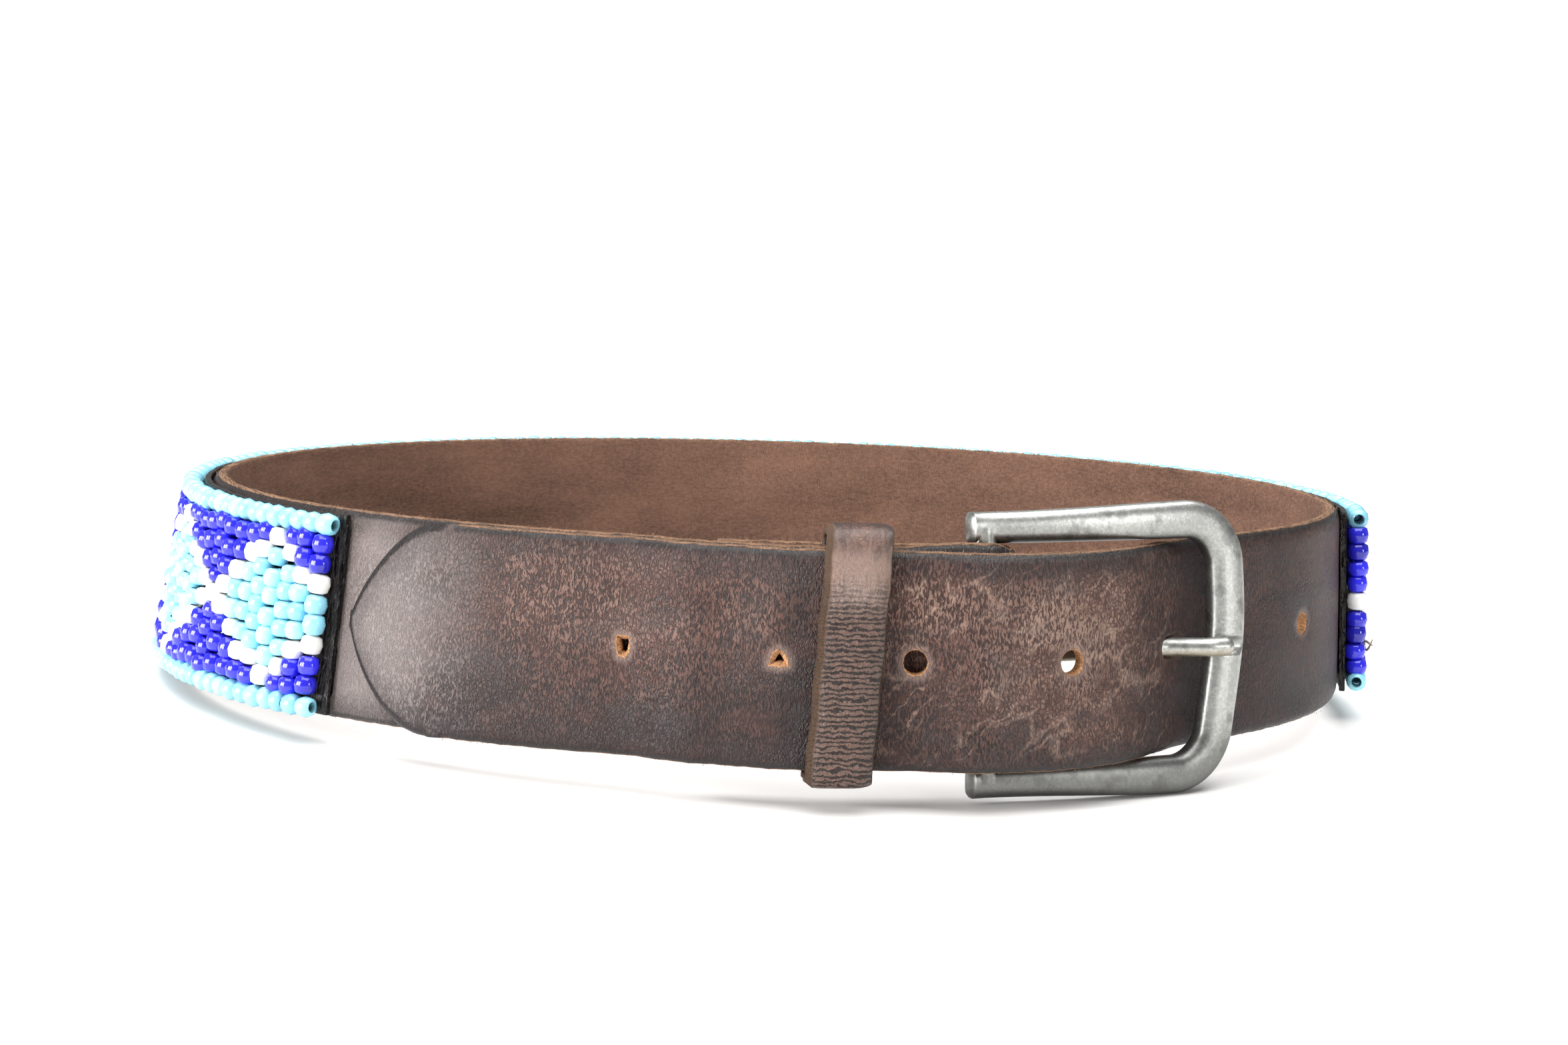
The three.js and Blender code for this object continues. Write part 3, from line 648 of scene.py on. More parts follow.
def grain_leather(name, colours, along=(1.0, 1.0), wrinkled=False):
    """Brown waxed leather: a fine grain, mottled wear, dark at its edges and raw where it is cut.

    Its marks and gleam also carry painted sheen and painted shade, and the keeper's wrinkles get painted
    shade.
    """
    look = Look(name)
    flat = look.attribute("flat")
    marks = look.attribute("marks")
    gleam = look.attribute("gleam", "Fac")
    creased = look.attribute("creased", "Fac")
    rim, hole, worn = (look.part(marks, name) for name in "XYZ")

    drifted = look.swayed(flat, look.noise(flat, (0.45, 0.4, 0.3), 2.0), 1.3)
    dash = look.between(look.noise(drifted, (3.2 * along[0], 1.05 * along[1], 0.2), 3.0, 0.62), 0.41, 0.56)
    crinkle = look.between(look.cell_edges(drifted, (1.45, 1.1, 0.2)), 0.01, 0.22) * 0.6 + 0.4 * dash
    mottled = look.between(look.noise(flat, (0.06, 0.08, 0.1), 2.0), 0.47, 0.62)
    texture = dash + mottled * (crinkle - dash)
    patches = look.noise(flat, (0.05, 0.085, 0.1), 4.0, 0.6) - 0.5
    speck = look.noise(flat, (4.5, 3.2, 0.2), 2.0) - 0.5
    bent = look.swayed(flat, look.noise(flat, (0.16, 0.16, 0.1)), 7.0)
    turned = look.add("ShaderNodeMapping", {"vector_type": "TEXTURE"}, {
        "Vector": bent, "Rotation": (0.0, 0.0, math.radians(-44)), "Scale": (17.0, 4.6, 10.0)})
    fold = look.between(look.cell_edges(turned, (1.0, 1.0, 1.0)), 0.07, 0.01)
    crease = creased * fold * look.between(look.noise(flat, (0.09, 0.12, 0.1), 2.0), 0.4, 0.6)
    # Painted sheen: where gleam is set the grain's tone is evened out and raised.
    calmed = texture * (1 - 0.6 * gleam) + 0.38 * gleam
    # worn brings in wear and painted light from the strap's wear table: painted shade, painted sheen and the
    # tip's painted contact shadow.
    tone = 0.56 * calmed + 0.7 * patches + 0.3 * speck + 0.42 * worn + 0.1 * crease + 0.04
    grain = look.ramp(
        tone,
        (0.05, colours.dark), (0.38, shade(colours.middle, 0.8)), (0.62, shade(colours.middle, 1.5)),
        (0.95, colours.light))
    warm = look.noise(flat, (0.1, 0.13, 0.1), 2.0)
    cooled = look.blend(look.between(warm, 0.5, 0.66) * 0.35, grain, linear("332d2e"))
    ruddy = look.blend(look.between(warm, 0.46, 0.34) * 0.3, cooled, linear("4a2a21"))
    # Painted sheen: paler and greyer where gleam is set.
    sheen_painted = look.blend(gleam * look.between(tone, -0.2, 0.5) * 0.62, ruddy, linear("928b89"))
    lined = look.blend(crease * (0.12 + 0.2 * texture), sheen_painted, linear("a1887a"))

    soft_edge = look.between(rim, 6.5, 0.8) * 0.5
    burnish = look.between(rim, 1.5, 0.7) * 0.8
    burnt = look.blend(burnish, look.blend(soft_edge, lined, linear("271b1a")), linear("130e0d"))
    frayed = hole + 0.6 * (look.noise(flat, (1.9, 1.9, 0.5), 3.0) - 0.55)
    pale = look.between(frayed, 1.8, 0.0) * 0.5
    halo = look.blend(pale, burnt, linear("917a70"))

    fibre = look.noise(flat, (3.0, 3.4, 1.3), 4.0, 0.7)
    layered = look.between(look.noise(flat, (0.4, 0.4, 2.4), 2.0), 0.35, 0.6)
    raw = look.ramp(
        0.6 * fibre + 0.4 * layered, (0.3, shade(colours.raw, 0.3)), (0.52, shade(colours.raw, 0.8)),
        (0.8, shade(colours.raw, 1.25)))
    inside = look.ramp(fibre, (0.34, shade(colours.hole, 0.35)), (0.62, shade(colours.hole, 1.2)))
    torn = look.between(frayed, 0.16, 0.06)
    holed = look.blend(torn, halo, inside)
    cut = look.between(rim, 0.26, 0.1) * (1 - torn) * look.between(worn, -2.0, -1.5)
    edged = look.blend(cut, holed, raw)

    nap = 0.6 * look.noise(flat, (0.9, 1.9, 0.5), 5.0, 0.72) + 0.4 * look.noise(flat, (0.03, 0.1, 0.1), 3.0)
    suede = look.ramp(nap, (0.35, shade(colours.flesh, 0.5)), (0.62, shade(colours.flesh, 1.3)))
    rough_side = look.between(look.part(flat, "Z"), 0.9, 1.2) * (1 - cut) * (1 - torn)
    colour = look.blend(rough_side, edged, suede)
    bare = cut + torn + rough_side
    shine = 0.36 + 0.14 * texture - 0.12 * gleam - 0.1 * patches + 0.5 * bare
    height = 0.6 * texture + (0.35 + 0.9 * gleam) * speck - 0.3 * crease + 0.7 * fibre * (cut + torn)
    if wrinkled:
        along_it = look.part(flat, "X") + 9.0 * (look.noise(flat, (0.3, 0.9, 0.2)) - 0.5)
        calm = look.between(along_it, 34.0, 44.0)
        waves = look.add("ShaderNodeTexWave", {"bands_direction": "X"}, {
            "Vector": look.stretched(flat, (0.34, 0.2, 0.1)), "Scale": 1.0, "Distortion": 7.0,
            "Detail": 3.0, "Detail Scale": 2.4, "Detail Roughness": 0.6})
        wrinkle = look.between(waves + 0.9 * (look.noise(flat, (0.9, 0.5, 0.2), 3.0) - 0.5), 0.22, 0.5)
        # Painted sheen: a paler band on the keeper's front below its rolled top.
        sheen_band = look.between(along_it, 29.5, 34.0) * (1 - calm)
        keeper_sheen = look.between(along_it, 24.0, 33.0) * 0.36 + 0.34 * sheen_band
        colour = look.blend(keeper_sheen, colour, linear("8c7164"))
        # Painted shade in the troughs of the keeper's wrinkles, near-black where the wrinkle mask is low.
        colour = look.blend((1 - wrinkle) * calm * (1 - cut) * 0.92, colour, linear("150c0b"))
        colour = look.blend(cut, colour, shade(colours.raw, 0.24))
        height = height * (0.35 + 0.65 * calm) + 1.6 * wrinkle * calm
    return look.finish(
        Base_Color=colour, Roughness=shine, Normal=look.bump(height, 0.0003, 0.9),
        Coat_Weight=look.between(burnish, 0.1, 0.8) * look.between(bare, 0.3, 0.0) * 0.2,
        Coat_Roughness=0.2, Specular_IOR_Level=0.38)


def dark_leather(name, colours):
    """Near-black glossy leather, wrinkled where it is turned at the beads' ends."""
    look = Look(name)
    flat = look.attribute("flat")
    fine = look.noise(flat, (1.6, 1.1, 0.6), 4.0, 0.65)
    fold_way = look.noise(flat, (1.2, 0.3, 0.4), 3.0, 0.6)
    wrinkle = look.between(fold_way, 0.4, 0.62)
    colour = look.ramp(
        0.6 * fine + 0.3 * wrinkle,
        (0.2, shade(colours.backing, 0.4)), (0.55, colours.backing), (0.85, shade(colours.backing, 3.5)))
    return look.finish(
        Base_Color=colour, Roughness=0.28 + 0.25 * fine,
        Normal=look.bump(0.8 * wrinkle + 0.2 * fine, 0.0006, 0.9))


def buckle_metal(name, colours, brass=0.0):
    """Antiqued white metal: satin and softly speckled, with painted shade low down and, on the frame, on
    faces turned downwards.
    """
    look = Look(name)
    spot = look.add("ShaderNodeTexCoord", output="Object")
    speck = look.noise(spot, (1700.0, 1700.0, 1700.0), 3.0, 0.7)
    fleck = look.noise(spot, (3600.0, 3600.0, 3600.0), 2.0, 0.6)
    cloud = look.noise(spot, (240.0, 240.0, 240.0), 3.0, 0.6)
    scratch = look.noise(spot, (300.0, 4200.0, 900.0), 2.0, 0.6)
    stained = look.between(0.45 * speck + 0.2 * fleck + 0.35 * cloud, 0.42, 0.6)
    colour = look.blend(0.6 + 0.4 * stained, colours.stain_and_shade, colours.face)
    colour = look.blend(look.between(cloud, 0.48, 0.66) * 0.55, colour, shade(colours.stain_and_shade, 0.7))
    # Painted shade: faces turned downwards darken towards the stain colour at 0.3 on the frame; on the prong
    # they take the brass colour.
    facing = look.part(look.add("ShaderNodeNewGeometry", output="Normal"), "Z")
    under = look.between(facing, 0.25, -0.75)
    under_tone = colours.brass if brass else shade(colours.stain_and_shade, 0.3)
    colour = look.blend(under * (brass or 0.8), colour, under_tone)
    # Painted shade on the lowest parts of the buckle, such as its lower arm.
    low_shade = look.between(look.part(spot, "Z"), 0.016, 0.005) * 0.7
    colour = look.blend(low_shade, colour, shade(colours.stain_and_shade, 0.6))
    height = 0.6 * speck + 0.3 * cloud + 0.2 * look.between(scratch, 0.6, 0.7)
    return look.finish(
        Base_Color=colour, Metallic=0.92, Roughness=0.24 + 0.16 * speck + 0.1 * cloud,
        Normal=look.bump(height, 0.00008, 0.45))


def glass(name, colour, depth):
    """Opaque bead glass, with each bead a little lighter or darker and its hole in shade."""
    look = Look(name)
    tone = look.attribute("tone", "Fac")
    local = look.attribute("bead")
    streak = look.noise(local, (1.6, 1.6, 0.5), 2.0)
    light = 0.55 * tone + 0.45 * streak
    tinted = look.ramp(light, (0.2, shade(colour, depth)), (0.5, colour), (0.85, shade(colour, 1.35)))
    radius = look.add("ShaderNodeVectorMath", {"operation": "LENGTH"}, {
        0: look.stretched(local, (1.0, 1.0, 0.0))}, output="Value")
    shaded = look.blend(look.between(radius, 0.62, 0.34) * 0.85, tinted, shade(colour, 0.08))
    return look.finish(
        Base_Color=shaded, Roughness=0.08 + 0.1 * streak, Coat_Weight=0.35, Coat_Roughness=0.04,
        Specular_IOR_Level=0.5)


def thread_finish(name, colour):
    look = Look(name)
    spot = look.add("ShaderNodeTexCoord", output="Object")
    ply = look.noise(spot, (2600.0, 2600.0, 1300.0), 3.0)
    spun = look.ramp(ply, (0.3, shade(colour, 0.45)), (0.7, colour))
    return look.finish(Base_Color=spun, Roughness=0.8, Normal=look.bump(ply, 0.0001, 0.6))


class Opening:
    """A hole through flat leather: round, long, or torn to an outline of its own corners."""

    def __init__(self, along, height=0.0, reach=(0.0, 0.0), radius=2.2, outline=None, shear=0.0, lip=None,
                 depth=0.3, bare=0.0):
        self.along, self.height, self.reach, self.radius = along, height, reach, radius
        self.outline, self.shear, self.lip, self.depth, self.bare = outline, shear, lip, depth, bare

    def core(self, x, y, z):
        """The nearest point of the hole's middle line, and the way from it."""
        dx, dy = x - self.along - self.shear * z, y - self.height
        cx = max(-self.reach[0], min(self.reach[0], dx))
        cy = max(-self.reach[1], min(self.reach[1], dy))
        return cx, cy, dx - cx, dy - cy

    def reach_towards(self, ox, oy):
        """How far the hole's outline is from its middle in one direction."""
        if not self.outline:
            return self.radius
        best = self.radius
        size = math.hypot(ox, oy)
        dx, dy = ox / size, oy / size
        for (ax, ay), (bx, by) in zip(self.outline, self.outline[1:] + self.outline[:1]):
            ex, ey = bx - ax, by - ay
            cross = dx * ey - dy * ex
            if abs(cross) < 1e-9:
                continue
            reach = (ax * ey - ay * ex) / cross
            share = (ax * dy - ay * dx) / cross
            if reach > 0 and -1e-6 <= share <= 1 + 1e-6:
                best = reach
        return best

    def distance(self, spot):
        _, _, ox, oy = self.core(*spot)
        size = math.hypot(ox, oy)
        return size - (self.reach_towards(ox, oy) if size > 1e-6 else self.radius)

    def onto(self, spot, lip, depth):
        """The spot moved onto the hole's outline, lip outside it and depth below the surface."""
        cx, cy, ox, oy = self.core(*spot)
        reach = (self.reach_towards(ox, oy) + lip) / math.hypot(ox, oy)
        z = math.copysign(abs(spot[2]) - depth, spot[2])
        drift = self.shear * z
        return Vector((self.along + drift + cx + ox * reach, self.height + cy + oy * reach, z))


def cut_opening(piece, opening, lip):
    """Cuts a hole through both faces of flat leather and gives it a worn lip and a wall."""
    work = edit(piece)
    bpy.ops.mesh.select_mode(type="FACE")
    for face in work.faces:
        if abs(face.normal.z) > 0.9 and opening.distance(face.calc_center_median()) < 1.6:
            face.select_set(True)
    bpy.ops.mesh.delete(type="FACE")
    bpy.ops.mesh.select_mode(type="EDGE")
    for distance, depth in ((opening.lip or lip, 0.0), (0.0, opening.depth)):
        select_open_edges(piece)
        bpy.ops.mesh.extrude_edges_indiv()
        work = bmesh.from_edit_mesh(piece.data)
        for corner in work.verts:
            if corner.select:
                corner.co = opening.onto(corner.co, distance, depth)
        bmesh.update_edit_mesh(piece.data)
    bpy.ops.mesh.bridge_edge_loops()
    face_outwards()


def tip_half_width(length, total):
    share = np.clip((total - length) / TIP_POINT_LENGTH, 0, 1)
    return np.maximum(STRAP_HALF_WIDTH * np.sin(share * math.pi / 2) ** TIP_ROUNDNESS, 1.6)


def strap_columns(total, slot_middle):
    """Lengths of the strap's columns: close together round the heel bar and at the tip."""
    plain = np.arange(1.4, total - TIP_POINT_LENGTH, 1.4)
    plain = plain[np.abs(plain - slot_middle) > 8]
    bend = np.arange(slot_middle - 7.7, slot_middle + 7.8, 0.7)
    tip = total - TIP_POINT_LENGTH * np.linspace(1, 0, 26) ** TIP_COLUMN_POWER
    return np.sort(np.concatenate([[0.0, 0.35], plain, bend, tip]))


def outline_distance(flat, total):
    """How far corners of the flat strap are from its cut outline."""
    sides = tip_half_width(flat[:, 0], total) - np.abs(flat[:, 1])
    lengths = total - TIP_POINT_LENGTH * np.linspace(0, 1, 240) ** TIP_COLUMN_POWER
    rim = np.column_stack([lengths, tip_half_width(lengths, total)])
    near_tip = flat[:, 0] > total - TIP_POINT_LENGTH - 3
    spots = np.column_stack([flat[near_tip, 0], np.abs(flat[near_tip, 1])])
    gaps = np.linalg.norm(spots[:, None] - rim[None], axis=2).min(axis=1)
    distance = np.minimum(sides, flat[:, 0])
    distance[near_tip] = np.minimum(gaps, total - spots[:, 0])
    return np.maximum(distance, 0)


# Wear and painted light on the strap's front, as place, height, reach along, reach up and how much paler.
# Besides scuffs and patches: painted sheen left of the tip (-74); painted shade under the upper arm (56),
# before the front bar (83.6) and right of the buckle (112); beside the keeper (11.5) a dark band that is
# partly painted shadow and partly darkened where the keeper rubs.
STRAP_WEAR_AND_SHADE = (
    (-58, 8, 9, 7, -0.3), (-62, -4, 10, 10, 0.35), (-44, -12, 12, 6, -0.45), (-33, 6, 9, 8, 0.3),
    (-36, -6, 8, 8, -0.2), (-18, 4, 7, 9, 0.35), (-16, -12, 12, 5, -0.3),
    (2, -5, 9, 5, -0.05), (4, -14, 18, 7, -0.6), (11.5, 0, 2.6, 22, -0.75), (27.5, -2, 1.2, 20, -0.25),
    (36, 9, 6, 6, 0.3), (45, -6, 9, 5, 0.5), (52, 6, 9, 8, 0.65), (63, 3, 9, 10, 0.7),
    (60, -11, 11, 6, 0.55), (72, 8, 4, 7, -0.45), (74, -9, 5, 7, -0.35), (78, 0, 6, 18, -0.3),
    (83.6, 0, 2.6, 26, -1.1), (56, 19, 24, 3.5, -0.5), (112, -3, 22, 18, -0.85), (-74, 0, 8, 30, 0.75),
)


def strap_wear_and_shade(route, flat):
    """How much paler or darker each corner of the strap is, from wear and from painted light."""
    place = route.place_at(flat[:, 0])
    # Painted shade: lighter towards the top edge and darker towards the bottom, as if lit from above.
    worn = 0.012 * flat[:, 1] - 0.012 * np.clip(-6 - flat[:, 1], 0, 14)
    over = flat[:, 0] > route.length_at(DROP_END_AT - GIRTH)
    on_tip_end = np.where(over, place + GIRTH, FAR)
    past_tip = np.where(over, place + GIRTH, place)
    right_of_buckle = np.where(over, FAR, place + GIRTH)
    for at, height, along, up, amount in STRAP_WEAR_AND_SHADE:
        layer = past_tip if at < TIP_AT else on_tip_end if at < DROP_END_AT else right_of_buckle
        worn += amount * np.exp(-(((layer - at) / along) ** 2 + ((flat[:, 1] - height) / up) ** 2))
    return worn


def make_strap(sizes):
    route = strap_route()
    total = route.length
    slot_middle = (HEEL_BAR_AT - FOLD_END_AT) + FOLD_RADIUS * math.pi / 2
    columns = strap_columns(total, slot_middle)
    halves = tip_half_width(columns, total)
    halves[0] -= 0.3
    strap = flat_strip("strap", columns, halves, STRAP_HALF_THICKNESS, sizes.edge_radius * 1000, 26)

    def over(place):
        return float(route.length_at(place - GIRTH))

    openings = [
        Opening(slot_middle, reach=(SLOT_HALF_LENGTH, 0.0), radius=SLOT_RADIUS),
        Opening(over(PRONG_HOLE_AT), reach=(1.7, 0.0), radius=2.0, shear=PRONG_HOLE_SHEAR, bare=-0.6),
        Opening(over(RIGHT_HOLE_AT), radius=2.0),
        *(Opening(over(place)) for place in ROUND_HOLES_AT),
        Opening(over(TORN_HOLES_AT[0]), 0.2, radius=0.9, lip=0.8, depth=0.9, bare=0.8,
                outline=[(1.05, -0.7), (0.5, 0.3), (0.15, 1.1), (-0.3, 0.35), (-0.9, -0.6), (0.0, -0.4)]),
        Opening(over(TORN_HOLES_AT[1]), 0.2, radius=1.0, lip=0.7, depth=0.9, bare=0.7,
                outline=[(1.0, 1.3), (0.1, 1.0), (-0.9, 1.25), (-0.6, 0.0), (-0.55, -1.3), (0.1, -1.05),
                         (0.5, -1.55), (0.6, -0.2)]),
    ]
    for opening in openings:
        cut_opening(strap, opening, sizes.hole_lip * 1000)
    flat = corners(strap.data)
    gaps = np.array([[opening.distance(spot) for opening in openings] for spot in flat])
    holes = np.maximum(gaps.min(axis=1), 0)
    halos = np.maximum((gaps - [opening.bare for opening in openings]).min(axis=1), 0)
    rim = outline_distance(flat, total)
    near_tip = smooth((flat[:, 0] - total + TIP_POINT_LENGTH + 5) / 8)
    # Near-black outline round the tip: its burnished edge with painted contact shadow; it also keeps the
    # tip's cut edge from showing raw.
    worn = strap_wear_and_shade(route, flat) - 4 * near_tip * np.clip(1.6 - rim, 0, 1)
    keep_attribute(strap.data, "marks", np.column_stack([rim, halos, worn]))
    keep_attribute(strap.data, "flat", flat)
    place = route.place_at(flat[:, 0])
    # Gleam marks painted sheen at the tip end, on the strip left of the tip and along the top edge near the
    # buckle, where roughness is also lower.
    tip_end = smooth((flat[:, 0] - total + 34) / 26)
    strip = smooth(1.6 - np.abs(place + 72) / 9) * (flat[:, 0] < total / 2)
    top_edge = smooth((place + GIRTH - 32) / 8) * (flat[:, 1] > 17.7) * (flat[:, 0] > total - 160)
    keep_attribute(strap.data, "gleam", np.clip(tip_end + strip + 0.8 * top_edge, 0, 1))
    under_strain = smooth((place + GIRTH - 22) / 8) * smooth((82 - place - GIRTH) / 8)
    keep_attribute(strap.data, "creased", under_strain * (flat[:, 0] > total - 160))

    laid = flat.copy()
    along, up = flat[:, 0], flat[:, 1]
    grain_side = np.clip(-flat[:, 2] / STRAP_HALF_THICKNESS, 0, 1)
    crown = 0.75 * np.clip(1 - rim / 3.0, 0, 1) ** 2 + 0.4 * np.clip(1 - rim / 1.4, 0, 1) ** 2
    laid[:, 2] += grain_side * (crown + 0.2 * np.clip(1 - holes / 1.8, 0, 1) ** 2)
    laid[:, 2] += RIPPLE * np.sin(along / 7.3 + np.sin(up / 6)) * np.sin(up / 8.3 + along / 23)
    edge = (np.abs(up) / STRAP_HALF_WIDTH) ** 6 * np.sign(up)
    laid[:, 1] += edge * (0.04 * np.sin(along * 0.9) + 0.04 * np.sin(along * 2.3 + 1))
    past_bar = smooth((along - slot_middle - 3) / 3.5) * smooth((slot_middle + 26 - along) / 14)
    laid[:, 1] += FOLD_RAISE * past_bar * np.clip(up / STRAP_HALF_WIDTH, 0, 1) ** 6
    lay_round(strap, route.lay, laid)
    hand_over(strap, [grain_leather("strap leather", sizes)], ["leather_strap"])


def keeper_line():
    """The keeper's middle line round the layers, as offsets and heights, from the middle of its back."""
    r = KEEPER_BEND
    middles = [
        (KEEPER_BACK + r, KEEPER_TOP - r, 1.0), (KEEPER_FRONT - r, KEEPER_TOP - r, 0.5),
        (KEEPER_FRONT - r, KEEPER_FOOT + r, 0.0), (KEEPER_BACK + r, KEEPER_FOOT + r, -0.5),
    ]
    back = (KEEPER_BACK, (KEEPER_TOP + KEEPER_FOOT) / 2)
    spots = [back]
    for x, y, start in middles:
        for angle in np.linspace(start * math.pi, (start - 0.5) * math.pi, 9):
            spots.append((x + r * math.cos(angle), y + r * math.sin(angle)))
    return np.array([*spots, back])


def make_keeper(sizes):
    line = keeper_line()
    steps = np.linalg.norm(np.diff(line, axis=0), axis=1)
    lengths = np.concatenate([[0], np.cumsum(steps)])
    total = lengths[-1]
    dense = np.linspace(0, total, 110)
    spots = np.stack([np.interp(dense, lengths, line[:, k]) for k in (0, 1)], -1)
    way = np.gradient(spots, axis=0)
    way[0] = way[-1] = (0.0, 1.0)
    way /= np.linalg.norm(way, axis=1, keepdims=True)
    inward = np.stack([way[:, 1], -way[:, 0]], -1)
    point, out, lean = waist_at(KEEPER_AT)
    run = np.array([-out[1], out[0], 0.0])
    slant = math.tan(math.radians(KEEPER_SLANT_DEG))

    def wrap(flat):
        rows = [np.interp(flat[:, 0], dense, column) for column in (*spots.T, *inward.T)]
        x = rows[0] + rows[2] * flat[:, 2]
        y = rows[1] + rows[3] * flat[:, 2]
        spot = point + out * (x - y * lean)[:, None] + run * (flat[:, 1] + y * slant)[:, None]
        spot[:, 2] += y
        return to_world(spot)

    keeper = flat_strip(
        "keeper", dense, np.full(len(dense), KEEPER_HALF_WIDTH), KEEPER_HALF_THICKNESS,
        sizes.keeper_edge_radius * 1000, 8, fill=False)
    flat = corners(keeper.data)
    keep_attribute(keeper.data, "flat", flat)
    along, up = flat[:, 0], flat[:, 1]
    grain_side = np.clip(-flat[:, 2], 0, 1)
    rim = np.where(flat[:, 2] < 0, np.clip(2 * (up + 4.5), 0, 9), 9.0)
    rim = np.minimum(KEEPER_HALF_WIDTH - np.abs(up), rim)
    no_hole, wear = np.full(len(rim), 9.0), np.full(len(rim), 0.1)
    # Gleam marks a painted sheen on a band of the keeper's front near its top.
    keep_attribute(keeper.data, "gleam", smooth(1.4 - np.abs(along - 36) / 5))
    keep_attribute(keeper.data, "marks", np.column_stack([rim, no_hole, wear]))
    laid = flat.copy()
    slanted = np.clip((-up - 4.3) / 1.5, 0, 1) * grain_side
    laid[:, 2] += 1.1 * slanted + grain_side * 0.25 * np.clip(up - 4.0, 0, 2)
    from_join = smooth(np.minimum(along, total - along) / 5)
    laid[:, 2] += 0.07 * np.sin(along * 1.9 + 0.3 * up) * smooth((along - 40) / 4) * from_join
    laid[:, 1] += (0.12 * np.sin(along * 0.55) + 0.06 * np.sin(along * 1.7)) * from_join
    lay_round(keeper, wrap, laid)
    weld(keeper, 0.00005, fill=False)
    hand_over(
        keeper, [grain_leather("keeper leather", sizes, (0.5, 1.6), True)],
        ["keeper_loop"])


def frame_line():
    """The buckle's middle line from the upper arm's end to the lower one's, as x and z."""
    middle = WINDOW_HALF + FRONT_WIDTH / 2
    arm = [(x, middle) for x in np.concatenate([
        [-HEEL_OVERHANG, -HEEL_OVERHANG + 0.5], np.arange(-1.5, FRAME_REACH - FRAME_CORNER, 1.5)])]
    bend = [
        (FRAME_REACH - FRAME_CORNER + FRAME_CORNER * math.sin(a),
         middle - FRAME_CORNER + FRAME_CORNER * math.cos(a))
        for a in np.linspace(0, math.pi / 2, 18)]
    bar = [(FRAME_REACH, z) for z in np.arange(middle - FRAME_CORNER - 1.4, 3.4, -1.4)]
    near = [(FRAME_REACH, z) for z in np.linspace(3.0, 0, 11)]
    upper = np.array(arm + bend + bar + near)
    return np.concatenate([upper, upper[-2::-1] * (1, -1)])


def domed_section(half_width, half_thickness):
    """Round the buckle bar: a domed face outwards and a flatter back."""
    ring = []
    for angle in np.linspace(0, 2 * math.pi, 29):
        cosine, sine = math.cos(angle), math.sin(angle)
        power = 2 / 2.5 if sine > 0 else 2 / 4.5
        ring.append((
            half_width * math.copysign(abs(cosine) ** power, cosine),
            half_thickness * math.copysign(abs(sine) ** power, sine)))
    ring[-1] = ring[0]
    return np.array(ring)


def make_buckle_frame(sizes):
    line = frame_line()
    middle = WINDOW_HALF + FRONT_WIDTH / 2
    share = np.clip(line[:, 0] / FRAME_REACH, 0, 1)
    line[:, 0] += FRONT_BULGE * (1 - (line[:, 1] / middle) ** 2) * smooth(share)
    way = np.gradient(line, axis=0)
    way[0], way[-1] = (1, 0), (-1, 0)
    way /= np.linalg.norm(way, axis=1, keepdims=True)
    outward = np.stack([-way[:, 1], way[:, 0]], -1)
    widths = HEEL_WIDTH + (FRONT_WIDTH - HEEL_WIDTH) * smooth(share)
    bevel = sizes.end_bevel * 1000
    table = []
    for i, at in enumerate(line):
        inset = bevel if i in (0, len(line) - 1) else 0.0
        ring = domed_section(widths[i] / 2 - inset, FRAME_HALF_THICKNESS - inset)
        spot = at + outward[i] * (ring[:, :1] - (FRONT_WIDTH - widths[i]) / 2)
        y = -ring[:, 1] - FRAME_BOW * math.sin(share[i] * math.pi)
        table.append(np.column_stack([spot[:, 0], y, spot[:, 1]]))
    table = np.array(table)
    front = (np.abs(table[..., 2]) < GROOVE_RADIUS) & (table[..., 0] > 30)
    groove = -PRONG_REST + np.sqrt(np.maximum(GROOVE_RADIUS ** 2 - table[..., 2] ** 2, 0))
    table[..., 1] = np.where(front, np.maximum(table[..., 1], groove), table[..., 1])
    buckle = grid_on("buckle_frame_cast", table)
    weld(buckle, 0.002)

    bpy.ops.object.select_all(action="DESELECT")
    bpy.ops.mesh.primitive_cylinder_add(
        vertices=32, radius=HEEL_BAR_RADIUS, depth=2 * WINDOW_HALF + HEEL_WIDTH, end_fill_type="NGON")
    unite(buckle, bpy.context.object)
    spots = corners(buckle.data)
    spots[:, 0] -= BAR_SLANT * smooth((8 - spots[:, 2]) / 30) * smooth((spots[:, 0] - 8) / 34)
    spots = buckle_to_world(spots)
    spots[:, 2] = np.maximum(spots[:, 2], 0)
    place_corners(buckle.data, spots)
    weld(buckle, 0.000002, fill=False)
    hand_over(buckle, [buckle_metal("antiqued metal", sizes)], ["buckle_frame"], 50.0)


def prong_level(x):
    return -PRONG_REST * smooth((x - PRONG_BEND_FROM) / PRONG_BEND_LENGTH)


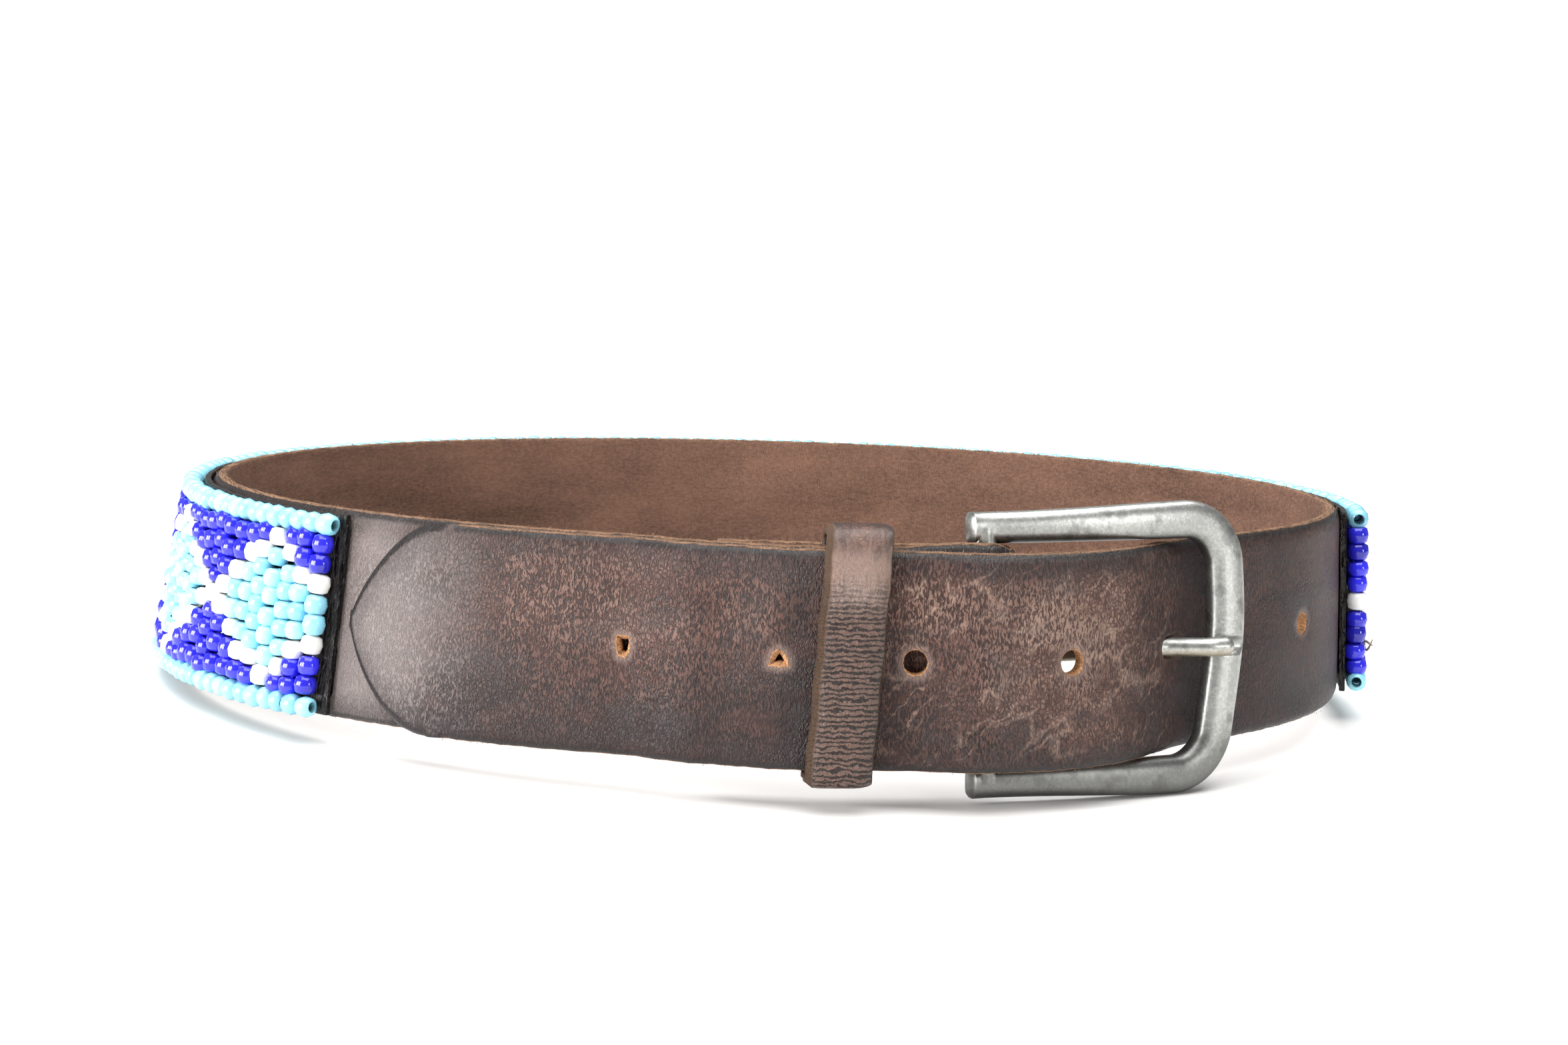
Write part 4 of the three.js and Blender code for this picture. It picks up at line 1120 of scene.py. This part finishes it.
def make_prong(sizes):
    radius = PRONG_RADIUS
    round_at = PRONG_TIP - radius
    stations = [(x, 1.0) for x in np.concatenate([
        np.arange(3.5, PRONG_BEND_FROM, 4.0), np.arange(PRONG_BEND_FROM, round_at, 0.9)])]
    stations += [(round_at + radius * math.sin(a), math.cos(a)) for a in np.linspace(0, 1.45, 8)]
    table = []
    for x, size in stations:
        slope = (prong_level(x + 0.1) - prong_level(x - 0.1)) / 0.2
        across = np.array([-slope, 1, 0]) / math.hypot(slope, 1)
        ring = []
        for angle in np.linspace(0, 2 * math.pi, 21):
            up, side = radius * size * math.sin(angle), radius * size * math.cos(angle)
            ring.append(np.array([x, prong_level(x), up]) + across * side)
        ring[-1] = ring[0]
        table.append(ring)
    prong = grid_on("prong", np.array(table))
    weld(prong, 0.002)

    bpy.ops.object.select_all(action="DESELECT")
    bpy.ops.mesh.primitive_cylinder_add(vertices=36, radius=EYE_RADIUS, depth=4.0, end_fill_type="NGON")
    eye = bpy.context.object
    work = hollow_out(eye, EYE_WALL)
    for edge in work.edges:
        level = abs(edge.verts[0].co.z - edge.verts[1].co.z) < 1e-4
        edge.select_set(level and len(edge.link_faces) == 2 and edge.calc_face_angle(0) > 1)
    bpy.ops.mesh.bevel(offset=0.45, segments=2, affect="EDGES")
    face_outwards()
    unite(prong, eye)
    place_corners(prong.data, buckle_to_world(corners(prong.data)))
    weld(prong, 0.000002, fill=False)
    hand_over(prong, [buckle_metal("worn prong metal", sizes, 0.6)], ["buckle_prong"], 50.0)


def band_route(offset):
    places = np.linspace(BAND_FROM, BAND_TO, 700)
    return Route(places, np.full_like(places, offset))


def make_backing(sizes):
    route = band_route(BACKING_OUT)
    total = route.length
    columns = np.concatenate([
        [0.0, 0.3], np.arange(1.2, 12, 1.0), np.arange(12, total - 12, 2.2),
        np.arange(total - 12, total - 1, 1.0), [total - 0.3, total]])
    halves = np.full(len(columns), BACKING_HALF_WIDTH)
    backing = flat_strip("backing", columns, halves, BACKING_HALF_THICKNESS, 0.3, 20)
    flat = corners(backing.data)
    ends = smooth((4 - flat[:, 0]) / 4) - smooth((flat[:, 0] - total + 4) / 4)
    flat[:, 0] -= ends * (0.35 * np.sin(flat[:, 1] * 0.55 + 1) + 0.25 * np.sin(flat[:, 1] * 1.7))
    flat[:, 1] *= 1 + 0.004 * np.sin(flat[:, 0] * 0.31) + 0.003 * np.sin(flat[:, 0] * 0.83 + 2)
    place_corners(backing.data, flat)
    lay_round(backing, route.lay)
    hand_over(backing, [dark_leather("backing leather", sizes)], ["bead_backing"])


def make_bead():
    """One glass bead of radius 1 and length 2 round the z axis: a barrel with soft shoulders."""
    bpy.ops.object.select_all(action="DESELECT")
    bpy.ops.mesh.primitive_cylinder_add(vertices=12, radius=1.0, depth=2.0, end_fill_type="NGON")
    bead = bpy.context.object
    work = hollow_out(bead, BEAD_WALL)
    for edge in work.edges:
        a, b = (corner.co for corner in edge.verts)
        edge.select_set(abs(a.z - b.z) > 1.9)
    bpy.ops.mesh.subdivide(number_cuts=1)
    work = bmesh.from_edit_mesh(bead.data)
    for corner in work.verts:
        outer, middle = corner.co.xy.length > 0.8, abs(corner.co.z) < 0.5
        radius, level = (1.03 if middle else 0.87, 0.76) if outer else (0.33 if middle else 0.52, 0.98)
        corner.co.xy = corner.co.xy.normalized() * radius
        corner.co.z *= level
    bmesh.update_edit_mesh(bead.data)
    face_outwards()
    return bead


def string_beads(name, spots):
    """One mesh of a bead repeated. Each spot gives a middle, three sized axes, a finish and a tone."""
    bead = make_bead()
    shape = corners(bead.data)
    faces = np.array([list(face.vertices) for face in bead.data.polygons])
    bpy.data.objects.remove(bead, do_unlink=True)
    middles = np.array([spot[0] for spot in spots])
    axes = np.array([spot[1] for spot in spots])
    points = to_world(middles[:, None] + np.einsum("ck,bkx->bcx", shape, axes))
    rings = faces[None] + (np.arange(len(spots)) * len(shape))[:, None, None]
    piece = piece_of(name, points.reshape(-1, 3), rings.reshape(-1, 4).tolist())
    keep_attribute(piece.data, "tone", np.repeat([spot[3] for spot in spots], len(shape)))
    keep_attribute(piece.data, "bead", np.tile(shape, (len(spots), 1)))
    return piece, np.repeat([spot[2] for spot in spots], len(faces))


def bead_axes(place):
    """Directions along the belt, out of it and up its lean at a bead."""
    _, out, lean = waist_at(place)
    run = np.array([-out[1], out[0], 0.0])
    up = np.array([0.0, 0.0, 1.0]) - out * lean
    up /= np.linalg.norm(up)
    return run, np.cross(up, run), up


def tilted(axes, chance, degrees):
    """The same directions, turned a little at random."""
    turn = Quaternion(Vector([chance.gauss(0, 1) for _ in range(3)]).normalized(), math.radians(
        chance.gauss(0, degrees)))
    matrix = np.array(turn.to_matrix())
    return [matrix @ axis for axis in axes]


def make_bead_field(sizes):
    chance = random.Random(sizes.seed)
    route = band_route(BEADS_OUT)
    count = sizes.columns
    inset = BEADS_INSET + 1.9
    finishes = {"b": 0, "w": 1, "l": 2}
    spots = []
    for column in range(count):
        along = inset + (route.length - 2 * inset) * column / (count - 1)
        chart = BEAD_CHART[column % len(BEAD_CHART)]
        pitch = CLOSE_PITCH if len(chart) > 8 else WIDE_PITCH
        drift, sink = chance.gauss(0, 0.1), chance.gauss(0, 0.22)
        for row, letter in enumerate(chart):
            height = ((len(chart) - 1) / 2 - row) * pitch + sink + chance.gauss(0, 0.12)
            place = float(route.place_at(along + drift + chance.gauss(0, 0.12)))
            width = sizes.bead_width * 500 * (1 + chance.gauss(0, sizes.unevenness * 0.6))
            length = pitch / 2 * (1 + chance.gauss(-0.01, sizes.unevenness * 0.8))
            run, out, up = tilted(bead_axes(place), chance, 4.5)
            middle = belt_point(place, BEADS_OUT + chance.gauss(0, 0.12), height)
            axes = (run * width, out * width, up * length)
            spots.append((middle, axes, finishes[letter], chance.random()))
    field, kinds = string_beads("beads_field", spots)
    finish = [glass("blue glass", sizes.blue, 0.55), glass("white glass", sizes.white, 0.8),
              glass("light blue glass", sizes.light, 0.75)]
    hand_over(field, finish, ["bead_field"], 60.0)
    field.data.polygons.foreach_set("material_index", kinds)


def make_bead_rows(sizes):
    chance = random.Random(sizes.seed + 1)
    route = band_route(ROWS_OUT)
    for name, node, height in (
            ("beads_row_upper", "bead_row_top", ROW_HEIGHT),
            ("beads_row_lower", "bead_row_bottom", -ROW_HEIGHT)):
        spots = []
        along = BEADS_INSET + 1.2
        while along < route.length - BEADS_INSET - 1.2:
            place = float(route.place_at(along))
            width = sizes.row_bead_width * 500 * (1 + max(-0.12, min(0.02, chance.gauss(-0.02, 0.035))))
            length = ROW_HALF_PITCH * (1 + chance.gauss(0, sizes.unevenness * 0.9))
            run, out, up = tilted(bead_axes(place), chance, 6.0)
            middle = belt_point(place, ROWS_OUT + chance.gauss(0, 0.1), height + abs(chance.gauss(0, 0.12)))
            spots.append((middle, (up * width, out * width, run * length), 0, chance.random()))
            along += length + ROW_HALF_PITCH
        row, _ = string_beads(name, spots)
        hand_over(row, [glass("edge bead glass", sizes.light, 0.75)], [node], 60.0)


def strand(name, path, radius, sides):
    """A closed strand along a path in world metres, thinner at both ends."""
    path = np.asarray(path, float)
    way = np.gradient(path, axis=0)
    way /= np.linalg.norm(way, axis=1, keepdims=True)
    table = []
    for i, (spot, along) in enumerate(zip(path, way)):
        side = np.cross(along, (0.31, 0.2, 0.93))
        side /= np.linalg.norm(side)
        other = np.cross(along, side)
        share = i / (len(path) - 1)
        size = radius * (0.35 + 0.65 * min(1, 6 * min(share, 1 - share)))
        ring = [spot + size * (side * math.cos(a) + other * math.sin(a))
                for a in np.linspace(0, 2 * math.pi, sides + 1)]
        ring[-1] = ring[0]
        table.append(ring)
    piece = grid_on(name, np.array(table))
    weld(piece, 0.0000005)
    return piece


def joined(name, parts):
    only_active(*parts)
    bpy.ops.object.join()
    piece = bpy.context.object
    piece.name = piece.data.name = name
    return piece


def make_stitches(sizes):
    """Two seams through the fold, seen on its inner side, either side of the keeper."""
    route = strap_route()
    parts = []
    shares = np.linspace(-1, 1, 9)
    for place in STITCHED_AT:
        along = place - FOLD_END_AT
        for height in STITCH_PITCH * np.arange(-3, 4):
            flat = np.column_stack([
                along + 0.12 * np.sin(3 * shares + height), height + STITCH_HALF_LENGTH * shares,
                -1.5 - 0.32 * (1 - shares ** 4) + 0.35 * shares ** 4])
            parts.append(strand("stitch", route.lay(flat), sizes.stitch_radius, 8))
    seam = joined("fold_stitches", parts)
    hand_over(seam, [thread_finish("waxed thread", sizes.waxed)], smooth_deg=60.0)


def make_thread_loop(sizes):
    """The beadwork's knotted thread end at its right lower corner."""
    middle = belt_point(LOOP_AT, LOOP_OUT, LOOP_HEIGHT)
    run, out, up = bead_axes(LOOP_AT)
    turns = np.linspace(0, 1, 34)
    path = [
        middle + out * (1.5 * math.sin(math.pi * t) + 0.2)
        + up * (1.9 * math.sin(2.2 * math.pi * t) * t + 0.4)
        - run * (1.6 * math.cos(2 * math.pi * t) * (1 - 0.5 * t))
        for t in turns]
    loop = strand("thread_loop", to_world(np.array(path)), sizes.loop_radius, 6)
    hand_over(loop, [thread_finish("linen thread", sizes.linen)], smooth_deg=60.0)


def make_fibres(sizes):
    """Loose fibres along the strap's raw edges."""
    chance = random.Random(sizes.seed)
    route = strap_route()
    end = route.length - TIP_POINT_LENGTH - 4
    points, faces = [], []
    for _ in range(sizes.fibres):
        along = chance.uniform(1.0, end)
        top = chance.random() < FIBRES_ON_TOP
        depth = chance.uniform(-1.1, 1.2)
        size = chance.uniform(0.25, 0.75) * (1.0 if top else 0.6)
        lean, twist = chance.uniform(-0.9, 0.9), chance.uniform(-0.7, 0.7)
        thick = chance.uniform(0.05, 0.12)
        sign = 1 if top else -1
        edge = sign * (STRAP_HALF_WIDTH - 0.1)
        start = len(points)
        for share in (0.0, 0.5, 1.0):
            bend = share * share * size
            x, z = along + lean * bend, depth + twist * bend
            y = edge + sign * size * share * (1 - 0.25 * share)
            radius = thick * (1 - 0.75 * share)
            for turn in range(3):
                angle = turn * 2 * math.pi / 3
                points.append((x + radius * math.cos(angle), y, z + radius * math.sin(angle)))
        for ring in (0, 3):
            for turn in range(3):
                a, b = start + ring + turn, start + ring + (turn + 1) % 3
                faces.append((a, b, b + 3, a + 3))
        faces.append((start + 6, start + 7, start + 8))
        faces.append((start + 2, start + 1, start))
    fibres = piece_of("strap_fibres", route.lay(np.array(points)), faces)
    edit(fibres)
    face_outwards()
    spots = corners(fibres.data)
    spots[:, 2] = np.maximum(spots[:, 2], ABOVE_FLOOR)
    place_corners(fibres.data, spots)
    hand_over(fibres, [thread_finish("leather fibre", sizes.fibre)], smooth_deg=60.0)


def make_floor(studio):
    bpy.ops.object.select_all(action="DESELECT")
    bpy.ops.mesh.primitive_circle_add(vertices=96, radius=FLOOR_RADIUS, fill_type="NGON")
    floor = bpy.context.object
    floor.name = floor.data.name = "studio_floor"
    look = Look("studio paper")
    spot = look.add("ShaderNodeTexCoord", output="Object")
    grain = look.noise(spot, (14.0, 14.0, 14.0), 3.0)
    colour = look.blend(grain * 0.25, studio.floor, shade(studio.floor, 0.95))
    floor.data.materials.append(look.finish(Base_Color=colour, Roughness=0.85))


def make_air(studio):
    """Soft light from all round, and plain white beyond the floor's edge."""
    world = bpy.data.worlds.new("studio air")
    world.use_nodes = True
    nodes, links = world.node_tree.nodes, world.node_tree.links
    paths = nodes.new("ShaderNodeLightPath")
    levels = nodes.new("ShaderNodeMapRange")
    levels.inputs["To Min"].default_value = studio.sky
    levels.inputs["To Max"].default_value = WHITE_BEYOND
    links.new(paths.outputs["Is Camera Ray"], levels.inputs["Value"])
    links.new(levels.outputs[0], nodes["Background"].inputs["Strength"])
    nodes["Background"].inputs["Color"].default_value = (1, 1, 1, 1)
    bpy.context.scene.world = world


def add_light(name, place, aim, size, power):
    lamp = bpy.data.lights.new(name, "AREA")
    lamp.shape = "RECTANGLE"
    lamp.size, lamp.size_y = size
    lamp.energy = power
    holder = bpy.data.objects.new(name, lamp)
    holder.location = place
    holder.rotation_euler = (Vector(aim) - Vector(place)).to_track_quat("-Z", "Y").to_euler()
    bpy.context.scene.collection.objects.link(holder)


def make_camera():
    yaw, pitch, roll = (math.radians(d) for d in (CAMERA_YAW_DEG, CAMERA_PITCH_DEG, CAMERA_ROLL_DEG))
    look = Vector((math.sin(yaw) * math.cos(pitch), math.cos(yaw) * math.cos(pitch), -math.sin(pitch)))
    right = Vector((math.cos(yaw), -math.sin(yaw), 0.0))
    up = right.cross(look)
    turned_right = right * math.cos(roll) + up * math.sin(roll)
    turned_up = up * math.cos(roll) - right * math.sin(roll)
    camera = bpy.data.cameras.new("camera")
    camera.lens = CAMERA_LENS
    camera.sensor_width = 36.0
    camera.clip_start = 0.01
    holder = bpy.data.objects.new("camera", camera)
    axes = [REST_LEAN @ axis for axis in (turned_right, turned_up, -look)]
    matrix = np.eye(4)
    matrix[:3, :3] = np.array(axes).T
    matrix[:3, 3] = to_world(np.array(CAMERA_PLACE))
    holder.matrix_world = Matrix(matrix)
    bpy.context.scene.collection.objects.link(holder)
    bpy.context.scene.camera = holder


def make_stage(studio):
    make_floor(studio)
    make_air(studio)
    power = studio.key_power
    add_light("left light", (-0.95, -0.8, 0.3), (-0.02, -0.05, 0.03), (0.5, 0.8), power)
    add_light("side light", (-1.2, -0.38, 0.22), (-0.06, -0.05, 0.03), (0.4, 0.6), power * 0.75)
    add_light("right light", (1.05, -0.85, 0.35), (0.02, -0.05, 0.03), (0.2, 0.4), power * 0.2)
    add_light("top light", (0.0, -0.3, 1.3), (0, 0, 0), (1.5, 0.9), studio.top_power)
    add_light("back light", (0.0, 0.6, 1.5), (0.0, 0.75, 0.0), (2.0, 0.8), studio.top_power * 1.3)
    bpy.context.scene.view_settings.view_transform = "Standard"
    make_camera()


class BELT_OT_strap(bpy.types.Operator):
    """Make the leather strap with its fold, holes and tip"""

    bl_idname = "belt.make_strap"
    bl_label = "Strap"

    def execute(self, context):
        make_strap(context.scene.belt_leather)
        return {"FINISHED"}


class BELT_OT_keeper(bpy.types.Operator):
    """Make the leather loop that holds the strap's layers"""

    bl_idname = "belt.make_keeper"
    bl_label = "Keeper"

    def execute(self, context):
        make_keeper(context.scene.belt_leather)
        return {"FINISHED"}


class BELT_OT_buckle(bpy.types.Operator):
    """Make the buckle's frame with its heel bar"""

    bl_idname = "belt.make_buckle"
    bl_label = "Buckle Frame"

    def execute(self, context):
        make_buckle_frame(context.scene.belt_metal)
        return {"FINISHED"}


class BELT_OT_prong(bpy.types.Operator):
    """Make the buckle's prong with its eye"""

    bl_idname = "belt.make_prong"
    bl_label = "Prong"

    def execute(self, context):
        make_prong(context.scene.belt_metal)
        return {"FINISHED"}


class BELT_OT_backing(bpy.types.Operator):
    """Make the dark leather under the beads"""

    bl_idname = "belt.make_backing"
    bl_label = "Backing"

    def execute(self, context):
        make_backing(context.scene.belt_leather)
        return {"FINISHED"}


class BELT_OT_bead_field(bpy.types.Operator):
    """String the patterned field of beads"""

    bl_idname = "belt.make_bead_field"
    bl_label = "Bead Field"

    def execute(self, context):
        make_bead_field(context.scene.belt_beads)
        return {"FINISHED"}


class BELT_OT_bead_rows(bpy.types.Operator):
    """String the two edge rows of beads"""

    bl_idname = "belt.make_bead_rows"
    bl_label = "Edge Rows"

    def execute(self, context):
        make_bead_rows(context.scene.belt_beads)
        return {"FINISHED"}


class BELT_OT_threads(bpy.types.Operator):
    """Add the fold's stitches, the thread end and the loose fibres"""

    bl_idname = "belt.make_threads"
    bl_label = "Threads and Fibres"

    def execute(self, context):
        make_stitches(context.scene.belt_threads)
        make_thread_loop(context.scene.belt_threads)
        make_fibres(context.scene.belt_threads)
        return {"FINISHED"}


class BELT_OT_stage(bpy.types.Operator):
    """Set up the floor, the lights and the camera"""

    bl_idname = "belt.make_stage"
    bl_label = "Studio"

    def execute(self, context):
        make_stage(context.scene.belt_studio)
        return {"FINISHED"}


class BELT_PT_parts(bpy.types.Panel):
    """The belt's parts and their settings"""

    bl_label = "Beaded Belt"
    bl_space_type = "VIEW_3D"
    bl_region_type = "UI"
    bl_category = "Belt"

    def draw(self, context):
        layout = self.layout
        for operator in OPERATORS:
            layout.operator(operator.bl_idname)
        for group in SETTINGS:
            box = layout.box()
            box.label(text=SETTINGS[group].__doc__)
            settings = getattr(context.scene, group)
            for name in SETTINGS[group].__annotations__:
                box.prop(settings, name)


SETTINGS = {
    "belt_leather": BeltLeather, "belt_metal": BeltMetal, "belt_beads": BeltBeads,
    "belt_threads": BeltThreads, "belt_studio": BeltStudio,
}
OPERATORS = (
    BELT_OT_strap, BELT_OT_keeper, BELT_OT_buckle, BELT_OT_prong, BELT_OT_backing,
    BELT_OT_bead_field, BELT_OT_bead_rows, BELT_OT_threads, BELT_OT_stage,
)


def register():
    for group in SETTINGS.values():
        bpy.utils.register_class(group)
    for name, group in SETTINGS.items():
        setattr(bpy.types.Scene, name, PointerProperty(type=group))
    for operator in OPERATORS:
        bpy.utils.register_class(operator)
    bpy.utils.register_class(BELT_PT_parts)


def unregister():
    bpy.utils.unregister_class(BELT_PT_parts)
    for operator in reversed(OPERATORS):
        bpy.utils.unregister_class(operator)
    for name in SETTINGS:
        delattr(bpy.types.Scene, name)
    for group in reversed(SETTINGS.values()):
        bpy.utils.unregister_class(group)


def main():
    register()
    bpy.ops.belt.make_strap()
    bpy.ops.belt.make_keeper()
    bpy.ops.belt.make_buckle()
    bpy.ops.belt.make_prong()
    bpy.ops.belt.make_backing()
    bpy.ops.belt.make_bead_field()
    bpy.ops.belt.make_bead_rows()
    bpy.ops.belt.make_threads()
    bpy.ops.belt.make_stage()


if __name__ == "__main__":
    main()
